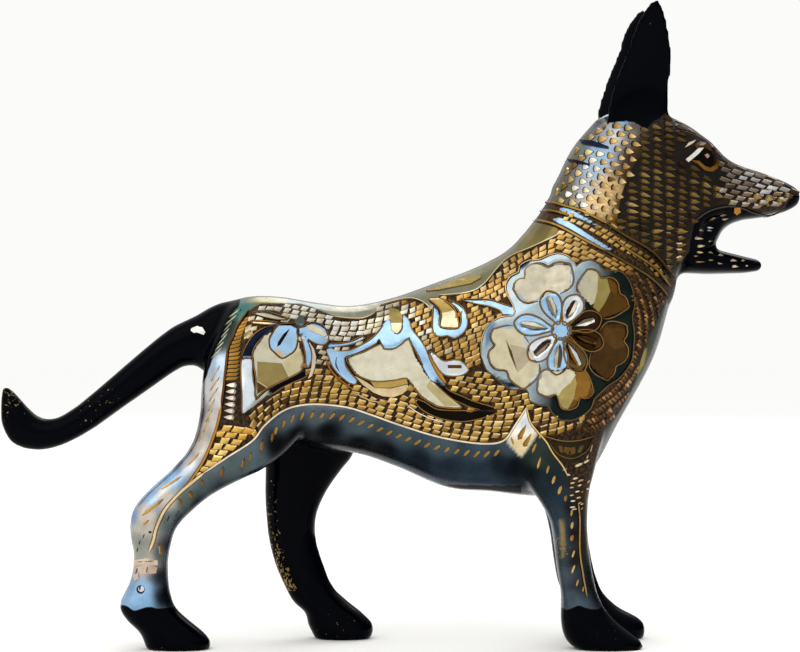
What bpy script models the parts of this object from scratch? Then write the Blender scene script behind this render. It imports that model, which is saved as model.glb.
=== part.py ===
"""A standing dog with pricked ears, an open mouth and a curled tail, cast in brass as one solid piece.

The body is drawn as ovals between pairs of points on its side outline, back line first, and the lofts
through them are fused into one casting. The dog faces +X and stands on z = 0.
"""

import math

import bmesh
import bpy
import numpy as np
from mathutils import Matrix, Vector
from mathutils.bvhtree import BVHTree

DOG_LENGTH = 0.200  # nose to the bend of the tail, in metres
UNIT = DOG_LENGTH / 200  # the rows below are drawn on a dog 200 units long

FUSE_GRAIN = 0.0006  # size of the smallest feature that the fused casting keeps
SOFTEN_PASSES = 6  # how far the seams between body and limbs are rounded
TRIANGLES = 6600  # of the plain casting, before the carving

COLLAR_PROUD = 0.0005  # how far the collar band stands out of the neck
COLLAR_WIDTH = 0.0034  # along the middle of the neck
CARVING_DEPTH = 0.0004  # how far the flat cuts of the flowers go below their own edge
GROOVE_DEPTH = 0.0007  # of the wedge cut down each small petal
GROOVE_WIDTH = 0.0020
MOUTH_RECESS = 0.0014  # depth of the cheek membrane behind the lips
EAR_RIM = 0.0018  # thickness of the ear's edge
EYE_RADIUS = 0.0015

MERGE_DISTANCE = 0.00002  # corners of the carving closer than this become one

RING_SIDES = 28
STEPS = 5  # rings made between two drawn rows

# Each row is (upper x, upper z, lower x, lower z, half width, centre y).
TRUNK = [
    (-47.0, 77.1, -48.5, 63.3, 5.5, 0),
    (-44.5, 82.8, -47.0, 53.3, 10.5, 0),
    (-40.0, 86.3, -40.5, 50.3, 13.6, 0),
    (-31.3, 86.8, -30.0, 50.3, 15.2, 0),
    (-20.5, 85.1, -19.5, 48.6, 14.2, 0),
    (-12.0, 84.4, -10.0, 47.2, 13.2, 0),
    (-2.0, 86.4, -0.5, 43.9, 14.0, 0),
    (8.8, 90.2, 11.5, 38.9, 16.0, 0),
    (18.8, 94.0, 22.5, 37.9, 17.3, 0),
    (26.3, 98.0, 35.5, 36.9, 17.8, 0),
    (31.0, 102.7, 46.5, 41.5, 17.5, 0),
    (34.2, 106.9, 54.8, 55.8, 16.6, 0),
    (36.3, 110.2, 63.0, 70.8, 15.4, 0),
    (37.5, 112.2, 66.7, 82.8, 14.4, 0),
    (38.7, 115.0, 68.7, 90.0, 13.6, 0),
    (40.5, 119.3, 70.8, 95.0, 13.0, 0),
    (43.4, 124.5, 72.6, 100.0, 12.6, 0),
    (48.1, 130.0, 72.5, 107.0, 10.5, 0),
]
COLLAR_PLACE = 13.67  # the row of the trunk that the middle of the collar lies on, between rows 13 and 14

HEAD = [
    (48.9, 130.9, 47.5, 113.3, 7.0, 0),
    (53.2, 132.8, 51.5, 104.5, 11.0, 0),
    (60.0, 133.0, 60.0, 97.0, 13.0, 0),
    (67.0, 131.7, 68.8, 93.8, 13.0, 0),
    (72.5, 129.0, 74.3, 95.3, 11.8, 0),
    (77.2, 125.5, 78.0, 98.8, 10.4, 0),
    (80.8, 121.8, 80.5, 103.3, 9.0, 0),
    (84.0, 119.8, 84.5, 105.5, 7.8, 0),
    (89.3, 118.0, 90.0, 106.3, 6.6, 0),
    (94.5, 116.0, 95.0, 107.4, 5.4, 0),
    (98.3, 114.2, 98.3, 108.8, 4.0, 0),
    (99.7, 112.8, 99.7, 110.0, 2.4, 0),
]
JAW = [
    (72.5, 101.4, 70.5, 92.5, 8.0, 0),
    (77.0, 99.0, 76.0, 92.2, 7.6, 0),
    (81.3, 97.8, 81.8, 92.3, 6.4, 0),
    (85.8, 96.7, 87.2, 92.6, 5.0, 0),
    (89.9, 95.8, 90.5, 93.2, 3.2, 0),
]
TAIL = [
    (-41.0, 86.0, -47.0, 67.8, 6.5, 0),
    (-46.3, 84.7, -49.3, 68.0, 6.0, 0),
    (-51.2, 81.9, -50.8, 69.3, 5.2, 0),
    (-57.0, 79.1, -54.0, 69.2, 4.8, 0),
    (-62.5, 74.9, -57.5, 67.2, 4.5, 0),
    (-68.5, 69.8, -64.0, 62.6, 4.3, 0),
    (-75.1, 64.1, -70.9, 57.8, 4.1, 0),
    (-81.5, 58.9, -77.5, 53.1, 4.0, 0),
    (-86.5, 56.2, -84.5, 49.5, 4.0, 0),
    (-90.3, 56.6, -90.8, 48.2, 3.9, 0),
    (-93.0, 58.8, -96.8, 49.8, 3.6, 0),
    (-95.5, 61.8, -99.6, 54.3, 3.0, 0),
    (-97.3, 63.6, -100.0, 58.8, 2.2, 0),
    (-98.8, 65.0, -99.7, 63.6, 0.9, 0),
]
NEAR_HIND_LEG = [
    (-43.7, 79.5, -18.4, 69.7, 4.5, -7),
    (-47.8, 72.9, -19.2, 60.6, 6.5, -7.8),
    (-49.1, 64.8, -23.8, 53.2, 7.2, -8.6),
    (-49.5, 57.4, -28.6, 47.8, 7.0, -9.3),
    (-51.4, 50.3, -33.9, 44.0, 6.3, -9.9),
    (-56.0, 44.4, -39.8, 41.2, 5.6, -10.4),
    (-61.4, 39.5, -46.0, 38.0, 5.1, -10.8),
    (-65.6, 34.6, -50.9, 34.1, 4.8, -11),
    (-66.6, 29.2, -55.0, 29.7, 4.5, -11),
    (-65.6, 23.0, -56.8, 23.5, 4.3, -11),
    (-66.4, 16.9, -57.0, 17.6, 4.4, -11),
    (-68.6, 12.4, -56.3, 12.9, 5.0, -11),
    (-69.1, 10.0, -55.2, 10.0, 5.6, -11),
    (-67.2, 7.0, -52.0, 7.0, 5.9, -11),
    (-64.1, 4.1, -48.4, 4.1, 6.1, -11),
    (-62.9, 1.3, -46.4, 1.4, 6.1, -11),
    (-62.2, -1.0, -47.2, -1.0, 5.8, -11),
]
FAR_HIND_LEG = [
    (-36.9, 73.2, -14.0, 66.8, 4.5, 7),
    (-36.1, 60.5, -12.2, 54.1, 6.5, 8.3),
    (-34.8, 50.3, -11.7, 47.3, 6.6, 9.6),
    (-34.4, 43.2, -14.6, 43.2, 6.0, 10.4),
    (-34.5, 37.1, -18.6, 37.6, 5.4, 10.8),
    (-34.2, 31.0, -21.4, 31.0, 5.0, 11),
    (-33.5, 24.9, -21.4, 24.9, 4.8, 11),
    (-31.9, 18.8, -19.6, 18.8, 4.7, 11),
    (-29.5, 13.2, -17.3, 13.2, 4.8, 11),
    (-27.2, 9.1, -13.7, 9.6, 5.4, 11),
    (-24.2, 6.6, -9.9, 6.6, 5.9, 11),
    (-23.6, 3.5, -6.9, 3.5, 6.1, 11),
    (-22.4, 1.3, -6.9, 1.3, 6.1, 11),
    (-21.4, -1.0, -8.1, -1.0, 5.8, 11),
]
NEAR_FORE_LEG = [
    (27.5, 61.1, 52.1, 58.7, 6.0, -7.6),
    (29.5, 51.3, 49.8, 51.3, 6.8, -8.8),
    (30.7, 41.6, 47.9, 43.9, 6.4, -9.6),
    (34.0, 36.4, 46.5, 38.5, 5.8, -10.2),
    (36.6, 31.6, 46.0, 32.6, 5.2, -10.7),
    (37.6, 25.7, 46.2, 26.2, 4.9, -11),
    (38.3, 19.8, 46.9, 20.3, 4.7, -11),
    (39.3, 13.9, 48.2, 14.4, 4.8, -11),
    (39.3, 10.5, 49.6, 10.7, 5.4, -11),
    (39.3, 7.0, 52.6, 7.0, 5.9, -11),
    (39.8, 3.9, 56.5, 3.9, 6.1, -11),
    (41.2, 1.4, 59.5, 1.4, 6.1, -11),
    (44.6, -1.0, 59.6, -1.0, 5.8, -11),
]
FAR_FORE_LEG = [
    (30.0, 57.9, 52.4, 57.9, 6.0, 7.6),
    (31.8, 47.8, 49.8, 47.8, 6.7, 9),
    (34.1, 39.6, 48.1, 40.1, 6.1, 10),
    (36.4, 33.0, 47.5, 33.5, 5.3, 10.6),
    (37.9, 26.9, 47.5, 27.4, 4.9, 11),
    (38.7, 20.8, 48.4, 21.3, 4.7, 11),
    (39.7, 15.2, 49.7, 15.7, 4.8, 11),
    (41.2, 11.2, 51.4, 11.7, 5.3, 11),
    (42.7, 7.9, 55.0, 8.1, 5.9, 11),
    (44.2, 4.5, 61.0, 4.8, 6.1, 11),
    (45.0, 1.7, 62.3, 2.0, 6.1, 11),
    (46.0, -1.0, 61.3, -1.0, 5.8, 11),
]

# Each row is (rear x, front x, z, rear y, front y, cup depth, thickness) of an ear that opens outwards.
EAR = [
    (50.2, 67.9, 127.0, 8.6, 4.6, 0.6, 8.0),
    (50.4, 67.1, 131.5, 9.4, 4.8, 1.6, 5.2),
    (51.6, 66.9, 137.0, 10.2, 5.4, 2.4, 3.6),
    (53.7, 67.4, 142.8, 10.8, 6.2, 2.4, 3.0),
    (56.1, 67.3, 149.0, 11.1, 7.2, 1.8, 2.6),
    (58.2, 66.2, 154.4, 11.1, 8.3, 1.0, 2.4),
    (60.4, 64.9, 158.0, 10.9, 9.3, 0.4, 2.0),
    (62.0, 63.9, 159.7, 10.6, 10.0, 0.1, 1.2),
]
FAR_EAR_SETBACK = 1.3  # how much further back the far ear stands
EYE_CENTRE = (76.2, 8.9, 120.6)  # of the near eye, mirrored for the far one
BROW = [(72.6, 9.6, 122.2), (75.2, 9.7, 123.7), (77.7, 8.9, 122.4)]
BROW_RADIUS = 0.9

# The cheek membrane between the jaws, as an outline in x and z.
CHEEK_HOLLOW = [(74.6, 105.2), (80.0, 107.2), (86.0, 106.9), (80.6, 98.6), (76.0, 96.2), (73.2, 98.0)]
CHEEK_HALF_WIDTHS = (9.6, 6.4)  # of the head at the hollow's rear and front ends

# The flower on the shoulder, in x and z. A big petal is (first angle, last angle, its lobes). A lobe, like a
# small petal, is (angle, reach) from the flower's middle, with angles in degrees.
FLOWER_MIDDLE = (39.2, 78.2)
BIG_PETALS = [
    (78, 140, [(93, 16.7), (114, 17.7), (131, 16.2)]),
    (16, 68, [(25, 18.0), (42, 18.3), (58, 17.1)]),
    (-50, 8, [(-42, 17.0), (-20, 17.7), (-2, 16.5)]),
    (-114, -54, [(-101, 16.5), (-83, 19.5), (-68, 18.0)]),
    (177, 241, [(184, 17.2), (204, 19.0), (223, 17.3)]),
]
SMALL_PETALS = [
    (110, 10.3), (63, 9.7), (18, 10.4), (-19, 11.0), (-62, 11.4), (-96, 10.9), (-138, 10.5), (170, 11.6),
]
BIG_PETAL_START = 10.6  # how far out the big petals begin
LOBE_DIP = 1.2  # how far the edge of a big petal falls between two lobes
GROOVE_START = 3.4  # how far out the groove of a small petal begins
GROOVE_MARGIN = 2.2  # what is left between its end and the petal's tip

# The other flat cuts of the flank, as outlines in x and z.
WAIST_LEAF = [
    (-13.1, 71.5), (-9.1, 72.9), (-4.8, 74.8), (-4.0, 73.7), (-1.6, 73.7), (0.6, 75.0), (2.1, 76.1),
    (3.8, 71.6), (5.9, 68.4), (2.6, 65.4), (1.6, 66.5), (-1.6, 66.0), (-5.7, 65.7), (-8.3, 66.2),
    (-10.8, 67.5), (-12.1, 69.4),
]
WAIST_RIBBON = [
    (6.3, 67.9), (8.1, 65.7), (11.3, 62.7), (15.0, 59.4), (9.9, 59.5), (7.9, 60.3), (4.9, 62.3), (3.1, 64.9),
]
HIP_DROP = [
    (-30.6, 78.6), (-33.4, 76.8), (-35.3, 74.6), (-36.1, 72.6), (-35.9, 70.0), (-35.2, 66.0), (-35.2, 61.9),
    (-32.6, 63.9), (-26.9, 66.7), (-24.1, 68.4), (-23.5, 71.0), (-24.3, 73.8), (-25.4, 77.6), (-28.0, 75.2),
]
SHOULDER_CURL = [
    (7.1, 86.1), (9.9, 86.1), (12.1, 84.8), (13.6, 83.1), (14.2, 80.9), (14.1, 78.9), (9.9, 79.2),
    (10.0, 82.2), (9.4, 83.9),
]
CUT_REACH = 6  # how far the cutters stick out of the flank


def curve_through(rows, steps):
    """Rows between the given ones, on a smooth curve through all of them."""
    ends = [rows[0], *rows, rows[-1]]
    made = []
    for before, start, end, after in zip(ends, ends[1:], ends[2:], ends[3:]):
        for step in range(steps):
            t = step / steps
            made.append(tuple(
                0.5 * (2 * b + (c - a) * t + (2 * a - 5 * b + 4 * c - d) * t * t
                       + (3 * b - a - 3 * c + d) * t ** 3)
                for a, b, c, d in zip(before, start, end, after)
            ))
    return [*made, rows[-1]]


def rounded(value, fullness):
    """A sine or cosine made fuller, so that an oval's sides are flatter."""
    return math.copysign(abs(value) ** (2 / fullness), value)


def row_middle(row):
    """The middle between a row's upper and lower point."""
    return Vector((row[0] + row[2], 2 * row[5], row[1] + row[3])) / 2


def oval(row, fullness=2.3, proud=0.0):
    """Points of an oval ring that spans from the upper to the lower outline, grown by proud."""
    upper = Vector((row[0], row[5], row[1]))
    lower = Vector((row[2], row[5], row[3]))
    centre = row_middle(row)
    reach = upper - centre
    reach += reach.normalized() * proud
    across = Vector((0, row[4] + proud, 0))
    angles = [2 * math.pi * k / RING_SIDES for k in range(RING_SIDES)]
    return [
        centre + reach * rounded(math.cos(a), fullness) + across * rounded(math.sin(a), fullness)
        for a in angles
    ]


def ear_ring(row, side):
    """A leaf-shaped ring whose outer face is cupped. side is -1 for the near ear and 1 for the far one."""
    rear, front, z, rear_y, front_y, cup, thickness = row
    rim = EAR_RIM / UNIT
    setback = FAR_EAR_SETBACK if side > 0 else 0
    points = []
    for k in range(RING_SIDES):
        angle = 2 * math.pi * k / RING_SIDES
        along = math.cos(angle)
        bow = 1 - along ** 2
        half = math.copysign(max(thickness * bow, rim * bow ** 0.25) / 2, math.sin(angle))
        x = (rear + front) / 2 + along * (front - rear) / 2 - setback
        y = (rear_y + front_y) / 2 + along * (front_y - rear_y) / 2
        points.append(Vector((x, side * (y - cup * bow - half), z)))
    return points


def loft(bm, rings):
    """Skins the rings by extruding a face from each one to the next. Both ends are closed."""
    top = bm.faces.new([bm.verts.new(p) for p in rings[0]])
    cap = top
    for ring in rings[1:]:
        grown = bmesh.ops.extrude_face_region(bm, geom=[top])["geom"]
        if top is not cap:
            bmesh.ops.delete(bm, geom=[top], context="FACES_ONLY")
        top = next(g for g in grown if isinstance(g, bmesh.types.BMFace))
        for vert, point in zip(top.verts, ring):
            vert.co = point


def add_lofts(bm):
    """The body, head, limbs, tail, ears and collar, still as closed shells that overlap."""
    for rows in (TRUNK, HEAD, JAW, TAIL, NEAR_HIND_LEG, FAR_HIND_LEG, NEAR_FORE_LEG, FAR_FORE_LEG):
        loft(bm, [oval(row) for row in curve_through(rows, STEPS)])
    for side in (-1, 1):
        loft(bm, [ear_ring(row, side) for row in curve_through(EAR, STEPS)])
    trunk = curve_through(TRUNK, STEPS * 4)
    middle = row_middle(trunk[round(COLLAR_PLACE * STEPS * 4)])
    near = [row for row in trunk if (row_middle(row) - middle).length * UNIT <= COLLAR_WIDTH / 2]
    loft(bm, [oval(row, proud=COLLAR_PROUD / UNIT) for row in near])


def add_eyes(bm):
    """The eyeballs and the brow ridges over them."""
    x, y, z = EYE_CENTRE
    for side in (-1, 1):
        bmesh.ops.create_uvsphere(
            bm, u_segments=20, v_segments=12, radius=EYE_RADIUS / UNIT,
            matrix=Matrix.Translation((x, side * y, z)),
        )
        for ridge in curve_through([(bx, side * by, bz) for bx, by, bz in BROW], STEPS * 2):
            bmesh.ops.create_icosphere(
                bm, subdivisions=2, radius=BROW_RADIUS, matrix=Matrix.Translation(ridge)
            )


def mesh_object(name, bm):
    """An object of the finished bmesh, scaled from drawing units to metres."""
    bmesh.ops.scale(bm, vec=(UNIT, UNIT, UNIT), verts=bm.verts)
    bmesh.ops.recalc_face_normals(bm, faces=bm.faces)
    mesh = bpy.data.meshes.new(name)
    bm.to_mesh(mesh)
    bm.free()
    made = bpy.data.objects.new(name, mesh)
    bpy.context.collection.objects.link(made)
    return made


def evaluated_mesh(obj):
    """A mesh of the object as its modifiers shape it."""
    bpy.context.view_layer.update()
    shaped = obj.evaluated_get(bpy.context.evaluated_depsgraph_get())
    return bpy.data.meshes.new_from_object(shaped)


def cheek_cutters():
    """Two slanted prisms that hollow the cheeks between the jaws, leaving a thin membrane."""
    bm = bmesh.new()
    rear, front = CHEEK_HOLLOW[0][0], max(x for x, _ in CHEEK_HOLLOW)
    for side in (-1, 1):
        corners = []
        for x, z in CHEEK_HOLLOW:
            share = (x - rear) / (front - rear)
            width = CHEEK_HALF_WIDTHS[0] * (1 - share) + CHEEK_HALF_WIDTHS[1] * share
            corners.append(bm.verts.new((x, side * (width - MOUTH_RECESS / UNIT), z)))
        inner = bm.faces.new(corners)
        outer = bmesh.ops.extrude_face_region(bm, geom=[inner])["geom"]
        moved = [g for g in outer if isinstance(g, bmesh.types.BMVert)]
        bmesh.ops.translate(bm, vec=(0, side * 10, 0), verts=moved)
    cutter = mesh_object("cheek_cutters", bm)
    cutter.hide_render = True
    cutter.display_type = "WIRE"
    return cutter


def fused_casting():
    """One closed mesh of the whole dog, with the joins between its forms rounded."""
    bm = bmesh.new()
    add_lofts(bm)
    add_eyes(bm)
    rough = mesh_object("rough_forms", bm)
    fuse = rough.modifiers.new("Fuse", "REMESH")
    fuse.mode = "VOXEL"
    fuse.voxel_size = FUSE_GRAIN
    hollow = rough.modifiers.new("Cheeks", "BOOLEAN")
    hollow.operation = "DIFFERENCE"
    hollow.object = cheek_cutters()
    again = rough.modifiers.new("Even", "REMESH")
    again.mode = "VOXEL"
    again.voxel_size = FUSE_GRAIN
    soften = rough.modifiers.new("Soften", "SMOOTH")
    soften.factor = 0.5
    soften.iterations = SOFTEN_PASSES
    fine = evaluated_mesh(rough)
    thin = rough.modifiers.new("Thin", "DECIMATE")
    thin.ratio = TRIANGLES / (2 * len(fine.polygons))
    plain = evaluated_mesh(rough)
    bpy.data.objects.remove(hollow.object)
    bpy.data.objects.remove(rough)
    return plain


def from_flower_middle(angle, reach):
    """The point at an angle and a distance from the middle of the shoulder flower, in x and z."""
    turn = math.radians(angle)
    return (FLOWER_MIDDLE[0] + reach * math.cos(turn), FLOWER_MIDDLE[1] + reach * math.sin(turn))


def big_petal(first, last, lobes):
    """Outline of a petal with straight sides and one bulge of its outer edge for each lobe."""
    middles = [(a + b) / 2 for (a, _), (b, _) in zip(lobes, lobes[1:])]
    borders = [first, *middles, last]
    points = [(first, BIG_PETAL_START)]
    for (_, reach), start, end in zip(lobes, borders, borders[1:]):
        for share in (0.1, 0.3, 0.5, 0.7, 0.9):
            points.append((start + (end - start) * share, reach - LOBE_DIP * (2 * share - 1) ** 2))
    points.append((last, BIG_PETAL_START))
    return [from_flower_middle(*point) for point in points]


def flank_point(flanks, place, side):
    """Where the flank on this side lies at a place in x and z."""
    eye = Vector((place[0] * UNIT, side * DOG_LENGTH, place[1] * UNIT))
    return flanks.ray_cast(eye, Vector((0, -side, 0)))[0] / UNIT


def add_flat_cut(bm, flanks, outline, side):
    """A prism over the outline. Its inner face is the flat that fits the outline's edge, pushed in."""
    edge = np.array([flank_point(flanks, place, side) for place in outline])
    across = np.column_stack((edge[:, 0], edge[:, 2], np.ones(len(edge))))
    slope = np.linalg.lstsq(across, edge[:, 1], rcond=None)[0]
    depths = across @ slope - side * CARVING_DEPTH / UNIT
    inner = bm.faces.new([bm.verts.new((x, y, z)) for (x, _, z), y in zip(edge, depths)])
    outer = bmesh.ops.extrude_face_region(bm, geom=[inner])["geom"]
    moved = [g for g in outer if isinstance(g, bmesh.types.BMVert)]
    bmesh.ops.translate(bm, vec=(0, side * CUT_REACH, 0), verts=moved)


def add_groove(bm, flanks, angle, reach, side):
    """A wedge with its keel under the middle line of a small petal, open at the surface."""
    places = [GROOVE_START + (reach - GROOVE_MARGIN - GROOVE_START) * share for share in (0, 0.25, 0.5, 0.75, 1)]
    start, low, middle, high, end = (
        flank_point(flanks, from_flower_middle(angle, place), side) for place in places
    )
    depth = GROOVE_DEPTH / UNIT
    lift = Vector((0, side, 0)) * depth
    turn = math.radians(angle)
    half = Vector((-math.sin(turn), 0, math.cos(turn))) * GROOVE_WIDTH / UNIT
    corners = [start + lift, end + lift, middle + half + lift, middle - half + lift, low - lift, high - lift]
    bmesh.ops.convex_hull(bm, input=[bm.verts.new(corner) for corner in corners])


def carved(plain):
    """The plain casting with the flowers and leaves cut into both its flanks."""
    solid = bmesh.new()
    solid.from_mesh(plain)
    flanks = BVHTree.FromBMesh(solid)
    solid.free()
    bm = bmesh.new()
    for side in (-1, 1):
        for outline in (WAIST_LEAF, WAIST_RIBBON, HIP_DROP, SHOULDER_CURL):
            add_flat_cut(bm, flanks, outline, side)
        for petal in BIG_PETALS:
            add_flat_cut(bm, flanks, big_petal(*petal), side)
        for angle, reach in SMALL_PETALS:
            add_groove(bm, flanks, angle, reach, side)
    cutters = mesh_object("carving_cutters", bm)
    cutters.hide_render = True
    cutters.display_type = "WIRE"
    block = bpy.data.objects.new("plain_casting", plain)
    bpy.context.collection.objects.link(block)
    carve = block.modifiers.new("Carve", "BOOLEAN")
    carve.operation = "DIFFERENCE"
    carve.object = cutters
    finished = evaluated_mesh(block)
    bpy.data.objects.remove(block)
    bpy.data.objects.remove(cutters)
    return finished


def flatten_soles(bm):
    """Cuts the paws off level at z = 0, closes the cuts and centres the dog over the origin."""
    everything = [*bm.verts, *bm.edges, *bm.faces]
    bmesh.ops.bisect_plane(
        bm, geom=everything, plane_co=(0, 0, 0), plane_no=(0, 0, 1), clear_inner=True
    )
    bmesh.ops.holes_fill(bm, edges=[e for e in bm.edges if e.is_boundary])
    for axis in (0, 1):
        places = [v.co[axis] for v in bm.verts]
        shift = Vector((0, 0, 0))
        shift[axis] = -(min(places) + max(places)) / 2
        bmesh.ops.translate(bm, vec=shift, verts=bm.verts)


def brass(name, colour, metallic, roughness):
    """A plain finish: cast brass, or the black paint on it."""
    made = bpy.data.materials.new(name)
    made.use_nodes = True
    shader = made.node_tree.nodes["Principled BSDF"]
    shader.inputs["Base Color"].default_value = colour
    shader.inputs["Metallic"].default_value = metallic
    shader.inputs["Roughness"].default_value = roughness
    return made


def build():
    for old in list(bpy.data.objects):
        bpy.data.objects.remove(old)
    bm = bmesh.new()
    bm.from_mesh(carved(fused_casting()))
    bmesh.ops.remove_doubles(bm, verts=bm.verts, dist=MERGE_DISTANCE)
    bmesh.ops.dissolve_degenerate(bm, edges=bm.edges, dist=MERGE_DISTANCE)
    flatten_soles(bm)
    bmesh.ops.triangulate(bm, faces=bm.faces)
    mesh = bpy.data.meshes.new("dog_casting")
    bm.to_mesh(mesh)
    bm.free()
    dog = bpy.data.objects.new("dog_casting", mesh)
    bpy.context.collection.objects.link(dog)
    mesh.materials.append(brass("cast_brass", (0.60, 0.44, 0.16, 1), 1.0, 0.3))
    mesh.shade_smooth()
    mesh.set_sharp_from_angle(angle=math.radians(50))


build()
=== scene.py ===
"""The looks of a brass dog figurine.

The casting is tinned on the body, lacquered black on its ears, tail and paws, and engraved by hand through
the tin to the brass, with dark lac rubbed into the cuts.

Outlines of the engraving are drawn in millimetres in x and z, on the dog's right flank, and are laid on both
flanks. On the left side they follow that side's legs.
"""

import math
import random

import bmesh
import bpy
import numpy as np
from mathutils import Matrix, Vector
from mathutils.bvhtree import BVHTree


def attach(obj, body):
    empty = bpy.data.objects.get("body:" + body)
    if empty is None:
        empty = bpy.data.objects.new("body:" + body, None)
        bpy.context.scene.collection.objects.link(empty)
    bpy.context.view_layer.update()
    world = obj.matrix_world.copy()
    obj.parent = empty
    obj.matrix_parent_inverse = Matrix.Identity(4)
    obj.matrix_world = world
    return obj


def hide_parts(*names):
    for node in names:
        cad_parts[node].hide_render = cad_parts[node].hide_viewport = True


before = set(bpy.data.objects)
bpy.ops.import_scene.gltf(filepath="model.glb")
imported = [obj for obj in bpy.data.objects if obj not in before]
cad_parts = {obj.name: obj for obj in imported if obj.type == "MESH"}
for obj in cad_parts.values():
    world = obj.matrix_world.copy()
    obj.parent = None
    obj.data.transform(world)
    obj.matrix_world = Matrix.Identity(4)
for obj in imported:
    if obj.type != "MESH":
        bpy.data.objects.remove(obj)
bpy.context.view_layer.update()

MM = 0.001
SIDES = (-1, 1)  # the right flank, which the camera sees, and the left one
SKIN_GRAIN = 0.67  # edge length of the fine skin, in mm
GROUND_DEPTH = 0.12  # how far the chipped ground lies below the tin left standing
FLAT_DEPTH = 0.34  # how far a flat cut goes below its own edge
FACET_STEP = 0.03  # each further cut on a flat
FLAT_THICK = 0.6  # how far a flat cut reaches down into the casting
LAID_HEIGHT = 0.05  # how far a shallow cut stands off the skin
RIDGE_STEP = 0.8  # between the cross-sections of a ridge
STUD_FOOT = 0.08  # how far a chisel mark reaches below its place
STEEPEST = 0.25  # how much of a flank's facing has to point sideways to carry a row's mark
TONE_EDGE = 0.6  # how wide a tone of the tin fades at its rim
HOLLOW_DEPTH = FLAT_DEPTH + 0.35  # of the room for a flat cut
FAR_OUTSIDE = -9  # a distance to say that a place is in no zone
PAW_TOP = 10.6  # where the black lacquer of the paws ends
LEG_TOP = 62  # where the lacquer inside the legs ends
BELLY_TOP = 40  # where the lacquer under the belly ends
BELLY_REACH = 30  # how far forward and back that lacquer goes
EAR_MIDDLE = 3.4  # half the gap between the ears, which stays tinned

# Colours of the metal as it lies to the light, with painted reflections: cream where it is cut bright, sky
# blue and navy on the tin, dark brown on faces that take a painted reflection of dark surroundings, and brown
# where lac fills it.
WHITE_CUT = "#F4F0E2"
CREAM = "#E6D9B4"
PALE_GOLD = "#E2C078"
GOLD = "#C08A34"
OLIVE = "#978650"
UMBER = "#573A16"
BROWN = "#3A2410"
BLACKENED = "#15110C"
SKY_REFLECTION = "#A6CCEC"
PALE_TIN = "#DCE4EA"
NAVY_REFLECTION = "#141B30"
OUTLINE = "#8E6836"  # the top of the ridge round a flower or leaf, a painted highlight lighter than its sides
SHADOW = "#2E1B0B"  # painted shadow along the sides of a ridge, with lac along its foot

FLOWER = (39.2, 78.2)  # the middle of the shoulder flower
BIG_PETALS = [
    (78, 140, [(93, 16.7), (114, 17.7), (131, 16.2)]),
    (16, 68, [(25, 18), (42, 18.3), (58, 17.1)]),
    (-50, 8, [(-42, 17), (-20, 17.7), (-2, 16.5)]),
    (-114, -60, [(-101, 16.5), (-83, 19.5), (-68, 17.8)]),
    (177, 241, [(184, 17.2), (204, 19), (223, 17.3)]),
]
# Tones of the big petals: painted reflections, lighter or darker by how each flat faces the light.
BIG_PETAL_TONES = ["#B4AF9C", "#5A3C16", "#452F13", "#6A4A1C", "#DACFAC"]
# Further facets of each big petal, as (tone, outline from the flower's middle), with tones that are painted
# reflections too.
BIG_PETAL_FACETS = [
    [("#BDB7A2", [(-4, 14.9), (-0.5, 16.3), (1.5, 15.5), (1.3, 11.5), (-1, 10.6), (-3.5, 10.8)])],
    [
        ("#CFC7A6", [(4, 10.6), (4.7, 13.3), (6.4, 15.3), (8.5, 15), (9.6, 13.2), (9, 9.6), (8.4, 6.8),
                     (7.3, 6.2), (5.2, 8.3)]),
        ("#A08F50", [(9.2, 13.9), (11.4, 12.9), (12.2, 9.6), (11, 7), (9.3, 4.5), (7.9, 5.7), (9, 9.6)]),
        ("#6B481A", [(11.5, 13), (14, 11), (13.6, 8.4), (12.3, 9.6)]),
    ],
    [("#553A18", [(10.6, 0.8), (15.8, 0.4), (16.4, -3.5), (13.5, -4.6), (10.4, -2.5)])],
    [
        ("#D9D2B8", [(-5.8, -13.2), (-4.7, -9.7), (-0.6, -10), (1.3, -9.3), (3.2, -9.8), (3.6, -11),
                     (2.4, -12.9), (0.4, -14.4), (-0.6, -15.9), (-2.1, -16.6), (-5.6, -15.6)]),
        ("#A9965A", [(3.5, -11), (3.9, -12.9), (3.2, -16.6), (1.7, -19.2), (0.4, -19.6), (-1, -16.6),
                     (0.4, -14.3), (2.4, -12.8)]),
        ("#8A6428", [(3.6, -10.6), (6.2, -9.4), (7.4, -13), (6.4, -16.2), (4.8, -17.4), (3.2, -16.8),
                     (3.9, -12.9)]),
    ],
    [
        ("#5A4222", [(-13.4, -2.2), (-12, -5), (-10.6, -10.2), (-12.4, -6)]),
        ("#BDB096", [(-12.4, -3.4), (-8.6, -4.2), (-7.4, -7), (-9.6, -9.4), (-10.6, -10.2), (-12, -5)]),
    ],
]
SMALL_PETALS = [
    (110, 10.3), (63, 9.7), (18, 10.4), (-19, 11), (-62, 11.4), (-96, 10.9), (-138, 10.5), (170, 11.6),
]
# Tin of each small petal, as a painted reflection, then the two sides of the V cut down its middle, with
# painted light and shade.
SMALL_PETAL_TONES = [
    (SKY_REFLECTION, "#A79C8C", "#D6CAB0"), (PALE_TIN, "#3A2A1C", "#D8CDB4"), ("#2E2014", "#6E665A", WHITE_CUT),
    ("#33220F", BROWN, UMBER), ("#5E4A2A", "#C8D2DA", "#A8762C"), (SKY_REFLECTION, "#5A4A3A", CREAM),
    (PALE_TIN, "#7A6A58", "#3A2A1C"), (SKY_REFLECTION, "#8C8474", "#E0D8C4"),
]
BIG_PETAL_START = 10.6
LOBE_DIP = 1.2
SMALL_PETAL_HALF = 2.55  # half the width of a small petal
DISC_RADIUS = 2.3

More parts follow.
